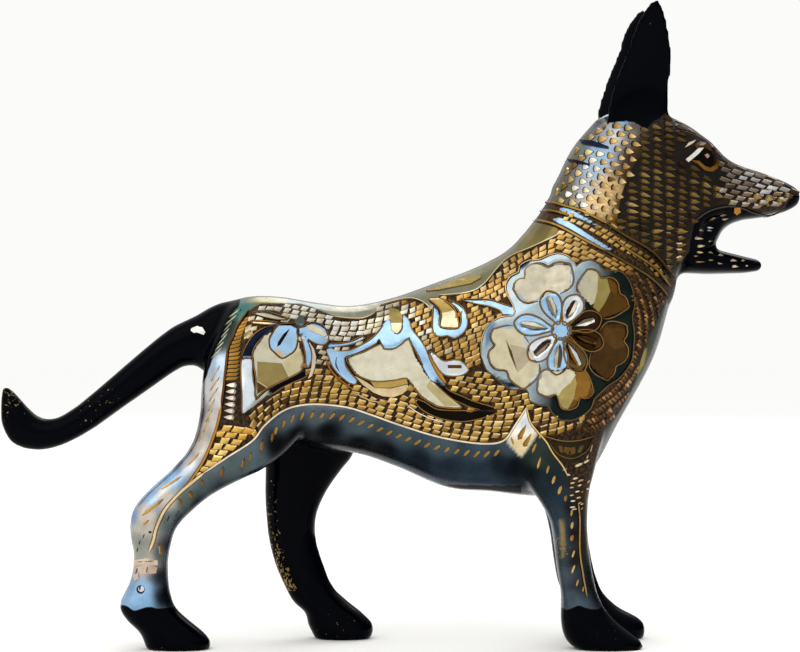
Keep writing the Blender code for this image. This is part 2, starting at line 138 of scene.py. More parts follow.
WAIST_LEAF = [
    (-13.1, 71.5), (-9.1, 72.9), (-4.8, 74.8), (-4, 73.7), (-1.6, 73.7), (0.6, 75), (2.1, 76.1),
    (3.8, 71.6), (5.9, 68.4), (2.6, 65.4), (1.6, 66.5), (-1.6, 66), (-5.7, 65.7), (-8.3, 66.2),
    (-10.8, 67.5), (-12.1, 69.4),
]
WAIST_RIBBON = [
    (5.2, 68.6), (8.1, 65.7), (11.3, 62.7), (15, 59.4), (9.9, 59.5), (7.9, 60.3), (4.9, 62.3), (2.2, 65.8),
]
HIP_DROP = [
    (-30.6, 78.6), (-33.4, 76.8), (-35.3, 74.6), (-36.1, 72.6), (-35.9, 70), (-35.2, 66), (-35.2, 61.9),
    (-32.6, 63.9), (-26.9, 66.7), (-24.1, 68.4), (-23.5, 71), (-24.3, 73.8), (-25.4, 77.6), (-26.7, 79.4),
    (-29.7, 79.4),
]
SHOULDER_CURL = [
    (7.1, 86.1), (9.9, 86.1), (12.1, 84.8), (13.6, 83.1), (14.2, 80.9), (14.1, 78.9), (9.9, 79.2),
    (10, 82.2), (9.4, 83.9),
]
# The flat cuts: outline, tone and further facets, each tone a painted reflection of how that flat faces the
# light.
FLAT_CUTS = [
    (WAIST_LEAF, "#DCD7BE", []),
    (WAIST_RIBBON, "#D6D0B6", [("#B9AA7A", [(7.2, 65.8), (14.2, 59.8), (11, 59.7), (6.4, 64.4)])]),
    (HIP_DROP, "#CFC9B0", [
        (OLIVE, [(-34.9, 70.6), (-28.9, 70.2), (-27.2, 66.8), (-32.3, 64.3), (-34.9, 65.9)]),
        ("#CBBE94", [(-28.6, 70.4), (-24.3, 73.6), (-23.9, 70.9), (-24.6, 68.5), (-26.9, 67)]),
        (UMBER, [(-34.9, 65.7), (-32.6, 64.2), (-34.9, 62.6)]),
        (SKY_REFLECTION, [(-29.7, 79.4), (-30.8, 77.9), (-31.9, 75.7), (-31.7, 74), (-30.6, 73), (-28.9, 71.9),
               (-26.9, 72.8), (-25.6, 74), (-25.4, 76.4), (-25.4, 78.6), (-26.7, 79.4)]),
        (BLACKENED, [(-26.9, 78.8), (-27.8, 77.1), (-29.3, 74.7), (-30.1, 74.2), (-29.9, 75.3),
                     (-28.6, 77.3)]),
        ("#E2B98A", [(-30.6, 73.4), (-29.9, 73.8), (-28.7, 72.6), (-28.9, 71.9), (-29.9, 72.3)]),
    ]),
    (SHOULDER_CURL, CREAM, [
        ("#A58A4E", [(7.5, 85.9), (9.9, 85.9), (12.1, 84.6), (13.3, 83.2), (10.2, 82.5), (9.6, 83.9)]),
    ]),
]

# Tin left standing on the flank: outline and how it lies to the light, as a painted reflection.
PLATE = [
    (27.7, 82), (27.7, 84), (26.1, 87.2), (25.9, 89.5), (27.1, 91.5), (29.1, 92.6), (29.4, 94.1),
    (31.7, 95.4), (34, 95.6), (36.6, 96.7), (38.6, 97.1), (40.5, 96.7), (42.2, 95.4), (43, 93.8),
    (44.4, 95.1), (46.7, 95.5), (48.7, 94.4), (49.8, 93), (53.9, 92.6), (55.9, 90.5), (57, 87.6),
    (57.4, 84.6), (56.8, 81.7), (57.1, 79.4), (57.4, 76.8), (57.2, 73.5), (56.9, 70.9), (55.6, 68.6),
    (53.6, 66.4), (51, 64.8), (49, 63), (47.4, 61.4), (46.6, 59.2), (44.4, 57.4), (41.8, 56.3),
    (38.9, 56.5), (36.9, 58.4), (35.9, 59.9), (33.8, 60.1), (31.5, 61.2), (30.8, 63.7), (27.1, 63.9),
    (24.5, 65.5), (22.8, 67.1), (20.9, 68.8), (19.8, 71.8), (19.8, 74.8), (20.4, 77.6), (22, 80),
    (24.6, 81.5),
]
TINNED = [
    ([(-23.4, 80.7), (-23.7, 79.8), (-24.6, 79.4), (-25.5, 79.8), (-25.9, 80.7), (-25.5, 81.6), (-24.6, 82),
      (-23.7, 81.6)], "#59625F"),
    ([(-25, 78.8), (-23.3, 79.4), (-21.8, 80.3), (-20, 80), (-18.3, 78.8), (-17.5, 76.8), (-17.5, 75.7),
      (-18.6, 74.7), (-20.3, 74.9), (-22, 75.8), (-24.1, 77.7)], SKY_REFLECTION),
    ([(-26.7, 79.4), (-29.7, 79.4), (-30.8, 77.9), (-31.9, 75.7), (-31.7, 74), (-30.6, 73), (-28.9, 71.9),
      (-26.9, 72.8), (-25.6, 74), (-25.4, 76.4), (-25.4, 78.6)], SKY_REFLECTION),
    ([(-24.8, 78.5), (-23.1, 76.4), (-21.8, 73.8), (-21.6, 71), (-22.6, 68.9), (-23, 70), (-23.1, 71.9),
      (-23.7, 74.9)], SKY_REFLECTION),
    ([(-36.4, 82.6), (-33.4, 83), (-29.7, 82), (-27.4, 81.1), (-29.7, 80.9), (-33.1, 81.5)], "#C9CBB6"),
    ([(-36.6, 80.7), (-30.1, 80.3), (-29.9, 79.6), (-36.2, 80)], CREAM),
    ([(-30.1, 79.8), (-33.4, 78.8), (-35.7, 77.3), (-37.4, 74.9), (-38.6, 71.8), (-36.3, 71.8),
      (-35.1, 74.9), (-33.4, 77), (-31.2, 78.8)], NAVY_REFLECTION),
    ([(-38.6, 71.2), (-39, 70), (-38.9, 66.3), (-38.6, 62.4), (-38.4, 57.7), (-36.6, 59.2), (-35.3, 60.7),
      (-35.6, 64.4), (-36.1, 68.2), (-36.2, 71.2)], PALE_TIN),
    ([(-22.9, 68.4), (-22.9, 67), (-25.9, 65.6), (-28.8, 64.2), (-32.1, 62.2), (-32.7, 63.3), (-28.9, 65.7),
      (-26.1, 67), (-23.9, 68.4)], "#0E1016"),
    ([(-32.3, 62.6), (-34.9, 60.3), (-36.6, 58.8), (-37.9, 57.6), (-35.3, 60.9), (-32.7, 63.3)], "#A9AFA4"),
    ([(-18.1, 73.7), (-17.1, 73.9), (-15.3, 73.1), (-13.8, 71.6), (-13.2, 69.5), (-12, 67.7), (-10.5, 66),
      (-10.8, 65), (-12.4, 65.3), (-13.6, 66.2), (-15.2, 67.6), (-16.6, 69.4), (-17.3, 71.2)], SKY_REFLECTION),
    ([(-15.3, 73.1), (-12.1, 73.5), (-8.3, 75.4), (-5.7, 77.6), (-4.2, 79.7), (-3.4, 80.6), (-2.5, 81),
      (-2.3, 78.4), (-3.5, 77.6), (-5.3, 76.7), (-5.7, 75.2), (-8.3, 73.7), (-12.1, 72.2),
      (-15.1, 71.6)], SKY_REFLECTION),
    ([(-17.5, 74.9), (-13.9, 75.2), (-11.5, 75.8), (-9.1, 76.9), (-8.7, 76.3), (-11.3, 75), (-13.9, 74.4),
      (-17.4, 74.1)], SKY_REFLECTION),
    ([(-5.3, 76.7), (-3.1, 81), (-2.3, 80.1), (-2.1, 78.2), (-0.7, 77.4), (0.4, 78.6), (0.5, 80.2),
      (0.9, 82.3), (2, 80.2), (2.3, 77.1), (0.6, 75), (-1.6, 73.7), (-3.7, 73.7)], SKY_REFLECTION),
    ([(0.9, 82.3), (2.3, 80.6), (2.9, 78.7), (4.6, 76.5), (6.1, 74.3), (7, 72), (7.9, 69.8), (9.8, 66.6),
      (11.1, 64.9), (9.8, 64.3), (7.4, 66.2), (5.9, 68.8), (4.8, 71.3), (3.6, 73.5), (2.7, 75.4),
      (2.2, 77.1), (1.6, 79.3)], SKY_REFLECTION),
    ([(8.9, 66.2), (10.5, 64.9), (12.2, 63.5), (15.4, 62.1), (18.2, 60.9), (22.3, 59.7), (24.7, 58.9),
      (20.3, 58.9), (17.2, 59.5), (14.2, 60.9), (11.4, 62.5), (9.3, 64.5)], BLACKENED),
    ([(3.6, 61.5), (6.1, 60.7), (8.7, 59.1), (12.2, 58.7), (17.2, 58.7), (23.3, 58.5), (22.3, 57.6),
      (18.2, 56.4), (14.2, 56), (9.1, 57), (5.1, 59.1)], BLACKENED),
    ([(7.1, 73.1), (8.7, 72.4), (10.7, 70.8), (13.8, 71.2), (15.4, 70.4), (16.8, 68.6), (15.4, 67.4),
      (13.2, 67), (10.7, 67.4), (8.7, 69.6)], PALE_TIN),
    ([(8.2, 84.2), (7.9, 81.4), (7.9, 78.6), (8.5, 77.2), (9.9, 76.7), (11.6, 76.9), (13, 76.3),
      (14.2, 76.7), (15.8, 78), (16.5, 79.8), (16.4, 81.7), (15.6, 83.6), (14.2, 84.8), (12.7, 85.5),
      (11.9, 85.9), (12.7, 84.7), (13.6, 83.9), (14.6, 82.5), (14.9, 80.9), (14.6, 79.2), (13.6, 78.4),
      (11.8, 79.2), (10, 79.1), (9.4, 80.2), (9.7, 81.7), (9.1, 83.6)], SKY_REFLECTION),
    ([(15, 86.1), (17.4, 85.9), (19.7, 85.9), (22, 85.8), (24.4, 85), (26.7, 84.1), (28.1, 83.1),
      (27.7, 82.2), (25, 82.2), (24.4, 83.1), (22, 84.1), (18.9, 84.7), (15.8, 85.5)], SKY_REFLECTION),
    ([(30.9, 59.6), (27.2, 53.6), (26.6, 51.1), (29.6, 47.9), (32.1, 51.6), (32.9, 53.1),
      (31.3, 57.6)], WHITE_CUT),
]
# Cuts laid into the tin or the ground without much depth: outline and tone.
SHALLOW_CUTS = [
    ([(-23, 79.4), (-21.8, 79.6), (-19.4, 78.5), (-17.9, 77), (-18.6, 76.7), (-22.2, 78.3)], CREAM),
    ([(-51.9, 78.6), (-51.4, 78.9), (-50.4, 79.3), (-49.7, 79.1), (-49, 79), (-48.2, 77.7), (-48.7, 77.1),
      (-49.7, 77.5), (-50.4, 77.7), (-51.2, 77.6), (-51.9, 78.1)], "#DEDDD8"),
    ([(-22.3, 75.5), (-21.1, 73.8), (-20.5, 71.7), (-20.8, 69.3), (-21.5, 67.1), (-22.5, 66.4),
      (-21.7, 68.8), (-21.5, 71.2), (-21.7, 73.1)], "#DCCAB6"),
    ([(-2.2, 80.1), (0.5, 80.1), (0.3, 78.6), (-0.7, 77.4), (-2, 78.2)], CREAM),
    ([(-2.5, 84), (-0.3, 83.2), (0.6, 81.9), (0.6, 80.2), (-2.2, 80.2), (-2.7, 81.9)], OLIVE),
    ([(-7.6, 66.2), (-5.7, 65.8), (-1.6, 66), (1.6, 66.5), (1.9, 65.2), (-2.2, 64.2),
      (-6.1, 64.2)], "#B89A52"),
    ([(-11.1, 67.1), (-8.3, 65.6), (-6.1, 64.1), (-2.2, 64), (1.8, 65), (2.2, 64), (0.6, 62.7),
      (-1.6, 61.9), (-4.2, 62.1), (-6.5, 63), (-9.1, 64.9)], "#D9C296"),
    ([(6.9, 72.6), (8.7, 70.2), (10.1, 67.8), (11.4, 65.3), (10.1, 65.8), (8.7, 67.8), (7.3, 70.6)], GOLD),
    ([(11.6, 69.8), (15, 69.8), (15, 69), (11.7, 69)], UMBER),
    ([(12.2, 68.8), (14.4, 68.8), (14.3, 68), (12.4, 67.9)], CREAM),
    ([(6.4, 88.1), (11.1, 89.5), (13.6, 90.8), (16.6, 91.5), (20, 91.9), (19.9, 91.2), (17.4, 89.8),
      (14.2, 89.2), (9.6, 88.3)], "#B39A5C"),
    ([(35.7, 51.4), (40.5, 50.8), (45.4, 51.3), (47.2, 51.9), (46, 48.5), (43.8, 46.5), (39.9, 45.9),
      (37.7, 48.7)], "#2C2618"),
    ([(38.6, 50.1), (41.6, 49.6), (45, 50.2), (44.2, 48.5), (41.6, 47.9), (39.2, 48.4)], "#6A4E26"),
    ([(43.4, 48), (45.6, 49.6), (46.6, 50.8), (45.9, 48.7), (44, 46.8), (42.2, 46.4)], "#14201C"),
]

GOLD_EDGE = [
    (-37.3, 83.1), (-39.8, 79.5), (-41, 76.5), (-42.1, 73.9), (-42.5, 70), (-42.8, 66.7), (-43.1, 63.6),
    (-43.6, 59.7), (-44.3, 55.9), (-45.5, 52), (-46.9, 48.5), (-48.1, 46), (-49.7, 43.5), (-52.4, 39.9),
    (-56.7, 35.6), (-58.2, 32.6), (-59.5, 29.9),
]
BORDER = [
    (-61.3, 24), (-60.2, 27), (-59.5, 29.9), (-57.7, 33.9), (-55.7, 36.5), (-52.7, 39.5), (-47.8, 43.5),
    (-41.8, 47.5), (-35.9, 51.4), (-33, 55.1), (-28.1, 58.8), (-22, 60.2), (-13.4, 59.5), (-6.8, 57.5),
    (0, 55.1), (9.8, 52.2), (19.6, 50.7), (25.2, 51.4), (28.1, 55.3), (30.8, 59.5),
]
FORE_RIDGE = [
    (30.8, 59.5), (31.7, 56), (33.5, 53.6), (35.7, 51.1), (37.3, 48.3), (39.7, 45.1), (40.9, 42.7),
    (42.4, 39.9), (43.4, 36.2), (43.8, 32.2), (43.8, 24.9), (44.4, 20.1), (45.6, 13.2),
]
CHEST_EDGE = [
    (46.2, 39), (47.7, 46), (49.2, 50.5), (50.3, 53.9), (54.1, 58), (57, 62.9), (58.4, 66.6), (59.3, 70.7),
    (61.2, 77.1), (63, 79.4), (65.3, 84.6), (65.8, 88),
]
COLLAR_UPPER = [
    (36.2, 110.6), (39.4, 109.3), (44.7, 107.5), (50.5, 104.4), (55.4, 101.2), (61.7, 97.6), (66, 93.2),
    (68, 91.3),
]
COLLAR_LOWER = [
    (33.6, 105.7), (38.4, 104.1), (44.5, 100.7), (50, 97.8), (57.3, 93.7), (61, 91.5), (64.1, 88.9),
    (66.2, 86.4),
]
COLLAR_MIDDLE = [
    [(34.8, 108.3), (37, 107.8), (39.1, 107.3), (41.3, 106.4)],
    [(52.6, 100.6), (55.6, 98.1), (59.3, 95.7), (63.1, 93), (66.6, 89.1)],
]
# Thin ridges: path, width and tone.
THIN_RIDGES = [
    ([(-12, 63), (-10.1, 62.4), (-7.8, 61.3), (-5.4, 60.7), (-3.1, 61)], 0.5, "#D8B080"),
    ([(-18.2, 71.4), (-17, 68.6), (-15, 66.4), (-12.4, 64.4), (-11.4, 63.8)], 0.9, "#9A6430"),
    ([(1.6, 60.2), (3.2, 58.9), (4.7, 58), (7.3, 56.8), (11, 55.6)], 0.5, "#E8DCC0"),
    ([(-15.5, 71.7), (-15.7, 69.9), (-14.8, 68.1)], 0.4, "#26365A"),
    ([(69.2, 127.4), (71.1, 127.1), (74, 125.9), (76.2, 124.7), (77.8, 122.3)], 0.6, "#6A5024"),
    ([(-25.7, 79.9), (-29.8, 79.6), (-31.3, 77.5), (-32, 76), (-31.8, 74.1), (-30.8, 72.9), (-28.9, 71.4),
      (-27.2, 72.2), (-25.7, 73.4), (-25, 76), (-25.1, 78.4)], 0.45, "#6E4C24"),
    ([(33.4, 53.2), (36.2, 52.2), (40, 51.2), (44, 51.4), (47.6, 52.4)], 0.5, "#8A6A34"),
    ([(36.6, 50.6), (38.6, 48), (42, 47), (45.4, 48.6), (47, 51.2)], 0.4, "#7A5A2C"),
]
BACK_EDGE = [
    (39.1, 101.9), (33.1, 99.1), (27.2, 96.5), (24, 93.6), (20.4, 89.5), (16.7, 87.6), (9.7, 86.9),
    (7.7, 83.4), (5.8, 85.2), (3, 86.2), (-0.1, 85.9), (-4.8, 84.6), (-6.4, 82.4), (-9.8, 81.2),
    (-16, 81.6), (-21.7, 84), (-24.8, 84.9), (-34.4, 84.9),
]
ENGRAVED_BODY = [
    *BORDER[3:], *FORE_RIDGE[1:8], *CHEST_EDGE, *COLLAR_LOWER[:0:-1], *BACK_EDGE, *GOLD_EDGE[:-2],
]
MUZZLE_TOP = [(79, 123.2), (85, 119.6), (91, 117.4), (96.5, 115), (99.6, 112.6)]
ENGRAVED_HEAD = [
    *COLLAR_UPPER, (69.5, 95.5), (73, 99.5), (76.5, 104), (80.7, 108.3), (86, 107.6), (92, 107.6),
    (97, 109.6), *MUZZLE_TOP[::-1], (75, 127.5), (66.4, 131.6), (64.4, 130.7), (62.3, 129.5), (60.7, 127.8),
    (58.5, 129.2), (55.9, 130.1), (53.7, 129.8), (51.1, 129.2), (48.9, 130.6), (43.4, 124.5), (39.6, 118),
]
TAIL_PAINT = [
    (-39.6, 86.5), (-40, 83.9), (-41.6, 81.9), (-42.8, 78.5), (-44.6, 75.2), (-45.4, 72.6), (-46.5, 69.8),
    (-47.6, 66.6), (-52, 60), (-110, 40), (-110, 70), (-60, 92),
]
EAR_PAINT = [
    (46, 131.5), (50.3, 132.6), (51.1, 129.2), (53.7, 129.8), (55.9, 130.1), (58.5, 129.2), (60.7, 127.8),
    (62.3, 129.5), (64.4, 130.7), (66.4, 132.2), (72, 134), (72, 165), (44, 165),
]
ROW_SPLIT = 69.0  # the rows above this height follow the back, those below follow the border
# Where the lacquer is rubbed: x, y and z of the middle, radius and how much.
RUBBED_SPOTS = [
    ((-98, 0, 61), 8, 0.26), ((-75, -3, 60), 10, 0.2), ((-57, -11, 1), 6, 0.36), ((62, -10, 150), 12, 0.12),
    ((50, -11, 2), 9, 0.24), ((39, -14, 25), 5, 0.3), ((-15, 11, 3), 9, 0.24),
]

# How the bare tin lies to the light at a few places, as painted reflections and painted shade with some
# tarnish: x, z, tone.
TIN_SHADES = [
    (-44.5, 70, "#B9CDE2"), (-45, 63, "#DEDAD4"), (-46.5, 56, "#E2D8CA"), (-49, 50, "#CFC6B8"),
    (-52, 46, "#CDD2DA"), (-49.5, 57, "#1A2240"), (-51.6, 51.5, "#1A2240"), (-54.5, 46.8, "#26345A"),
    (-56.5, 42.2, "#9CC4E8"), (-60.8, 38, "#A9CBEA"), (-57.5, 37.5, "#D9CFC0"), (-62.5, 33, "#E4D3C0"),
    (-65.5, 33, "#7FA0C4"), (-63, 30, "#B9B3A4"), (-64, 27, "#8A8E86"), (-63, 23.5, "#9A9C92"),
    (-62.5, 20.8, "#D2BEB0"), (-63, 15, "#9CC4E8"), (-62, 12, "#8EB8DA"), (-58.5, 18, "#23272B"),
    (-58.2, 13, "#1C2026"), (-57.8, 23, "#565C5C"), (-57, 32, "#5C6A6A"), (-52, 37, "#56645F"),
    (-47, 41, "#4C5A5C"), (-41, 45, "#4E5C60"), (-36, 48.5, "#55636A"), (-53.5, 31, "#0E1530"),
    (-56, 25, "#0E1530"), (-49.5, 35.5, "#10162A"), (-44, 38.5, "#0E1420"), (-55.2, 17, "#0E1530"),
    (-28, 56.7, "#4B5961"), (-20, 57.6, "#55626A"), (-10, 55, "#4B5961"), (0, 52.5, "#46555F"),
    (10, 49.8, "#46555F"), (20, 48.3, "#3F505C"), (27, 50, "#46525C"), (-30, 50, "#0C0F12"),
    (-25, 52.5, "#0C0F12"), (-18, 53.5, "#0A0D10"), (-10, 50, "#07090B"), (-3, 48.2, "#0A0D12"),
    (5, 45.5, "#151D26"), (12, 44, "#222E38"), (20, 43.5, "#283644"), (0, 44.5, "#102632"),
    (8, 41.5, "#182C3C"), (20, 40.5, "#203242"), (32, 43.8, "#141A1E"), (37.7, 30.7, "#3E4C58"),
    (38.6, 26.6, "#4A565E"), (40.2, 18.4, "#46525A"), (42.7, 12.2, "#4E5C66"), (39.8, 28.6, "#3A444C"),
    (39.8, 22.5, "#3A444C"), (42.1, 28.6, "#1E1A18"), (42.3, 22.5, "#1C1A1A"), (44.3, 16.3, "#2A2E34"),
    (45.1, 26.6, "#33281A"), (46, 18.4, "#2E3438"), (44.7, 38.1, "#3A2A18"), (36.1, 41.4, "#1E2A30"),
    (38.2, 37.3, "#24343E"), (27.9, 45.1, "#10161C"), (23.8, 45.9, "#1A2228"), (33.2, 46.3, "#2E3A34"),
    (41.5, 34.5, "#1E1C1A"), (39.2, 33, "#2E3A44"), (49, 44, "#33281A"), (48.5, 131, "#2E3A36"),
    (-38.6, 83.6, "#4E827C"), (-37.5, 87.2, "#77734E"), (-34.5, 86.8, "#8A8458"), (-25, 87.4, "#7E8C88"),
    (-42.5, 79, "#343E3C"), (-44.5, 75, "#3A4442"), (-30, 88, "#98957F"), (-12, 85, "#9A9784"),
    (12, 92, "#8C8A72"), (24, 98, "#8A8462"), (31, 101, "#8A7C4C"), (34, 103, "#7A6C40"),
    (56, 55, "#2A322C"), (64, 75, "#26302A"), (66, 88, "#222A26"), (61, 68, "#2A3430"), (58, 60, "#343224"),
    (60, 72, "#3A3826"), (60, 134, "#14161A"), (72, 130.5, "#2E2618"), (68, 132, "#241E18"),
    (52, 113, "#CFAE7C"), (50, 108.9, "#E4C08C"), (45.5, 114.6, "#949AA2"), (49.2, 121.6, "#7F9AB6"),
    (46.7, 117.9, "#8FA6BC"), (52, 127.3, "#B9B9BC"), (54.5, 130.2, "#8FB4D6"), (40.6, 113, "#6E6A54"),
    (42.6, 121.2, "#7C7A60"), (57.3, 127.7, "#6A625A"), (64.5, 128.9, "#3E4248"), (57.5, 121, "#3A2A18"),
    (56, 116, "#4A3014"), (54.3, 109, "#5A3A18"), (53.2, 104.5, "#6A4418"), (59.8, 124.6, "#3C3020"),
    (62, 127.4, "#2A2420"), (38.4, 115, "#5F5A44"), (41, 120.5, "#5F5A44"), (45, 127, "#6B6A58"),
]
# Painted reflections and painted shade on the tin, and places worn to the brass: outline and tone.
REFLECTIONS_SHADE_AND_WEAR = [
    ([(26.4, 51.4), (28.6, 51.8), (33.4, 53.2), (32.2, 51.4), (29.6, 47.4)], "#EAD6A6"),
    ([(28.4, 54.6), (31, 58), (32.4, 54.4), (30.6, 54)], "#D4DAE0"),
    ([(38.9, 32), (39.8, 31.6), (40.2, 27.4), (40, 23), (39.5, 22.6), (39.3, 27.4)], "#8A7A52"),
    ([(-27.4, 60), (-26, 60.4), (-20, 60.6), (-12, 60), (-12, 58.9), (-20, 59.6)], "#6E7C84"),
    ([(28.6, 94), (29.6, 95.4), (32.4, 95.6), (31.4, 94.2), (30, 93.2)], "#2C3A50"),
    ([(22.8, 67.4), (25, 66.2), (27.4, 65.6), (31.2, 66.6), (31.6, 65.4), (29.6, 64.4), (26.4, 64.2),
      (24, 65.4)], "#1E2A3C"),
    ([(20.6, 78.4), (21.8, 80.4), (23.4, 80), (22.2, 77.6), (21.6, 74.4), (20.6, 75)], "#6E8CA8"),
    ([(58.8, 74.4), (60.8, 73.6), (60.2, 69.8), (57.8, 66), (58.2, 69)], "#8A7A40"),
    ([(54.6, 62.4), (56.6, 63.2), (54.4, 59.4), (53.2, 58.8)], "#7A6A38"),
    ([(53, 60.2), (56, 62), (57.4, 60), (55, 56.6), (53.2, 56)], "#1E2620"),
]
# Tin left between the drops of the neck, and the strips along the collar.
NECK_TIN = [
    (36.9, 110.9), (39.8, 117.8), (42.6, 123.9), (47.9, 130.1), (50.8, 129.3), (55.7, 129.7), (59, 129.3),
    (63.6, 129.4), (62, 126.4), (60.6, 125.2), (59, 121.2), (56.1, 117), (54.1, 110.9), (52.8, 103.6),
    (42.6, 108.1),
]
COLLAR_STRIPS = [
    [(39.3, 108.4), (40.8, 108.4), (42.8, 107.4), (46.7, 105.1), (50, 102.9), (46.7, 104.4), (42.8, 106.2),
     (40.8, 107), (39.3, 107.8)],
    [(37.4, 105.6), (39.1, 106), (40.6, 105.5), (43.7, 103.4), (47.6, 100.7), (51.5, 98.3), (53.2, 97.4),
     (50, 98.2), (45.2, 101), (41.1, 103.5), (39.1, 104.5)],
]
MOUTH_PAINT = [
    (72.4, 105.1), (76.1, 107.6), (81, 108.8), (85.1, 108.3), (87.5, 107.4), (92.4, 106.8), (95.7, 108.8),
    (96.9, 111.3), (97.5, 113.3), (100, 114.5), (106, 116), (106, 85), (66, 85), (69, 92.5), (71.2, 98.2),
    (72, 102.3),
]
# The eye and brow: outline and tone, laid one over another.
EYE_CUTS = [
    ([(70.4, 119.9), (72.4, 121.3), (74.6, 123.1), (76.4, 122.4), (77.3, 121), (77.1, 119.1), (76, 118.4),
      (73.5, 119.9), (71.7, 120.2)], "#0A0705"),
    ([(71.4, 120), (73.5, 119.9), (75, 118.6), (76.4, 118.2), (77.8, 119.1), (78.2, 120.6), (78.9, 119.9),
      (78.2, 118.1), (76.8, 117.2), (75, 117.5), (73.2, 119.1)], "#8A5E22"),
    ([(70.1, 120.2), (71.5, 121.3), (73.5, 123.1), (74.8, 123.2), (73.5, 121.7), (71.7, 120.2),
      (70.8, 119.5)], WHITE_CUT),
    ([(72.4, 123.7), (74, 124.7), (75.6, 124.2), (76.9, 122.6), (76.4, 122.4), (74.8, 123.5),
      (73, 122.9)], "#4A3414"),
    ([(70, 123.1), (71, 124.4), (73, 125.1), (72.1, 124.2)], CREAM),
    # a painted highlight on the eye
    ([(74.9, 121.4), (75.7, 121.8), (76.2, 121.1), (75.6, 120.5)], "#B58A7C"),
    ([(82.5, 108.5), (84, 108.7), (84.3, 107.6), (83.3, 106.9), (82.5, 107.4)], "#A9762E"),
    ([(44.7, 125.5), (45, 124.6), (48.5, 123.6), (51.2, 123), (51.3, 123.5), (48, 124.9)], "#141A30"),
    ([(41.7, 120.7), (42, 120), (46.4, 118.8), (46.6, 119.2), (44, 120.2)], "#141A30"),
]


def smooth_path(points, step, closed=False):
    """Points about a step apart on a smooth curve through the given ones."""
    ends = [points[-1], *points, points[0], points[1]] if closed else [points[0], *points, points[-1]]
    ends = [Vector(p) for p in ends]
    made = []
    for before, start, end, after in zip(ends, ends[1:], ends[2:], ends[3:]):
        count = max(1, round((end - start).length / step))
        for k in range(count):
            t = k / count
            made.append(0.5 * (
                2 * start + (end - before) * t + (2 * before - 5 * start + 4 * end - after) * t * t
                + (3 * start - before - 3 * end + after) * t ** 3
            ))
    return made if closed else [*made, ends[-1]]


def even_path(points, step):
    """Points exactly a step apart along a path, each with its direction."""
    made = []
    left = step / 2
    for start, end in zip(points, points[1:]):
        run = (end - start).length
        while left <= run and run > 0:
            made.append((start.lerp(end, left / run), (end - start) / run))
            left += step
        left -= run
    return made


def beside(points, distance):
    """The path moved sideways, to the left of its own direction."""
    made = []
    for k, point in enumerate(points):
        ahead = (points[min(k + 1, len(points) - 1)] - points[max(k - 1, 0)]).normalized()
        made.append(point + Vector((-ahead.y, ahead.x)) * distance)
    return made


def polar(middle, angle, reach):
    """The point at an angle and a distance from a middle, in x and z."""
    turn = math.radians(angle)
    return (middle[0] + reach * math.cos(turn), middle[1] + reach * math.sin(turn))


def big_petal(first, last, lobes):
    """Outline of a petal with straight sides and one bulge of its outer edge for each lobe."""
    middles = [(a + b) / 2 for (a, _), (b, _) in zip(lobes, lobes[1:])]
    borders = [first, *middles, last]
    points = [(first, BIG_PETAL_START)]
    for (_, reach), start, end in zip(lobes, borders, borders[1:]):
        for share in (0.1, 0.3, 0.5, 0.7, 0.9):
            points.append((start + (end - start) * share, reach - LOBE_DIP * (2 * share - 1) ** 2))
    points.append((last, BIG_PETAL_START))
    return [polar(FLOWER, *point) for point in points]


def small_petal(angle, reach):
    """Outline of a petal that is widest two thirds of the way out and comes to a rounded tip."""
    turn = math.radians(angle)
    ahead = Vector((math.cos(turn), math.sin(turn)))
    aside = Vector((-ahead.y, ahead.x))
    along = [(0.16, 0.12), (0.3, 0.42), (0.45, 0.76), (0.6, 0.97), (0.74, 1), (0.86, 0.82), (0.95, 0.46)]
    rim = [(share, -half) for share, half in along] + [(1, 0)] + [(s, h) for s, h in reversed(along)]
    return [Vector(FLOWER) + ahead * reach * share + aside * half * SMALL_PETAL_HALF for share, half in rim]


def disc(middle, radius, corners=16):
    """A round outline."""
    return [polar(middle, 360 * k / corners, radius) for k in range(corners)]


def edge_distance(places, outline):
    """How far each place lies inside an outline, below zero outside."""
    rim = np.array([tuple(p) for p in outline])
    ahead = np.roll(rim, -1, axis=0) - rim
    best = np.full(len(places), 1e9)
    inside = np.zeros(len(places), dtype=bool)
    for start, run in zip(rim, ahead):
        off = places - start
        share = np.clip(off @ run / max(run @ run, 1e-9), 0, 1)
        best = np.minimum(best, np.linalg.norm(off - share[:, None] * run, axis=1))
        if run[1] != 0:
            crossing = (places[:, 1] >= start[1]) != (places[:, 1] >= start[1] + run[1])
            meets = start[0] + (places[:, 1] - start[1]) / run[1] * run[0]
            inside ^= crossing & (places[:, 0] < meets)
    return np.where(inside, best, -best)


def near(places, outline, margin=2.0):
    """The numbers of the places that lie in the outline's box, or within a margin of it."""
    rim = np.array([tuple(p) for p in outline])
    low, high = rim.min(axis=0) - margin, rim.max(axis=0) + margin
    return np.where(((places > low) & (places < high)).all(axis=1))[0]


# The left legs stand elsewhere than the right ones: heights, then how much further forward the left one is.
HIND_SHIFT = ([0, 10, 16, 22, 28, 34, 40, 46, 52, 60], [40, 40, 36, 34, 33, 31, 27, 18, 9, 0])
FORE_SHIFT = ([0, 8, 14, 20, 30, 40, 50, 60], [4, 3, 1.5, 1.3, 1.2, 1, 0, 0])


def outer_hit(skin, x, z, side, spread=0.0):
    """Where the flank lies at x and z, and the way it faces. A spread finds the outermost place nearby."""
    best = None
    for dx, dz in ((0, 0), (spread, 0), (-spread, 0), (0, spread), (0, -spread)):
        hit, facing, _, _ = skin.ray_cast(Vector((x + dx, side * 60, z + dz)), Vector((0, -side, 0)))
        if hit is not None and hit.y * side > 0 and (best is None or hit.y * side > best[0].y * side):
            best = (hit, facing)
        if spread == 0:
            break
    return None if best is None else (Vector((x, best[0].y, z)), best[1])


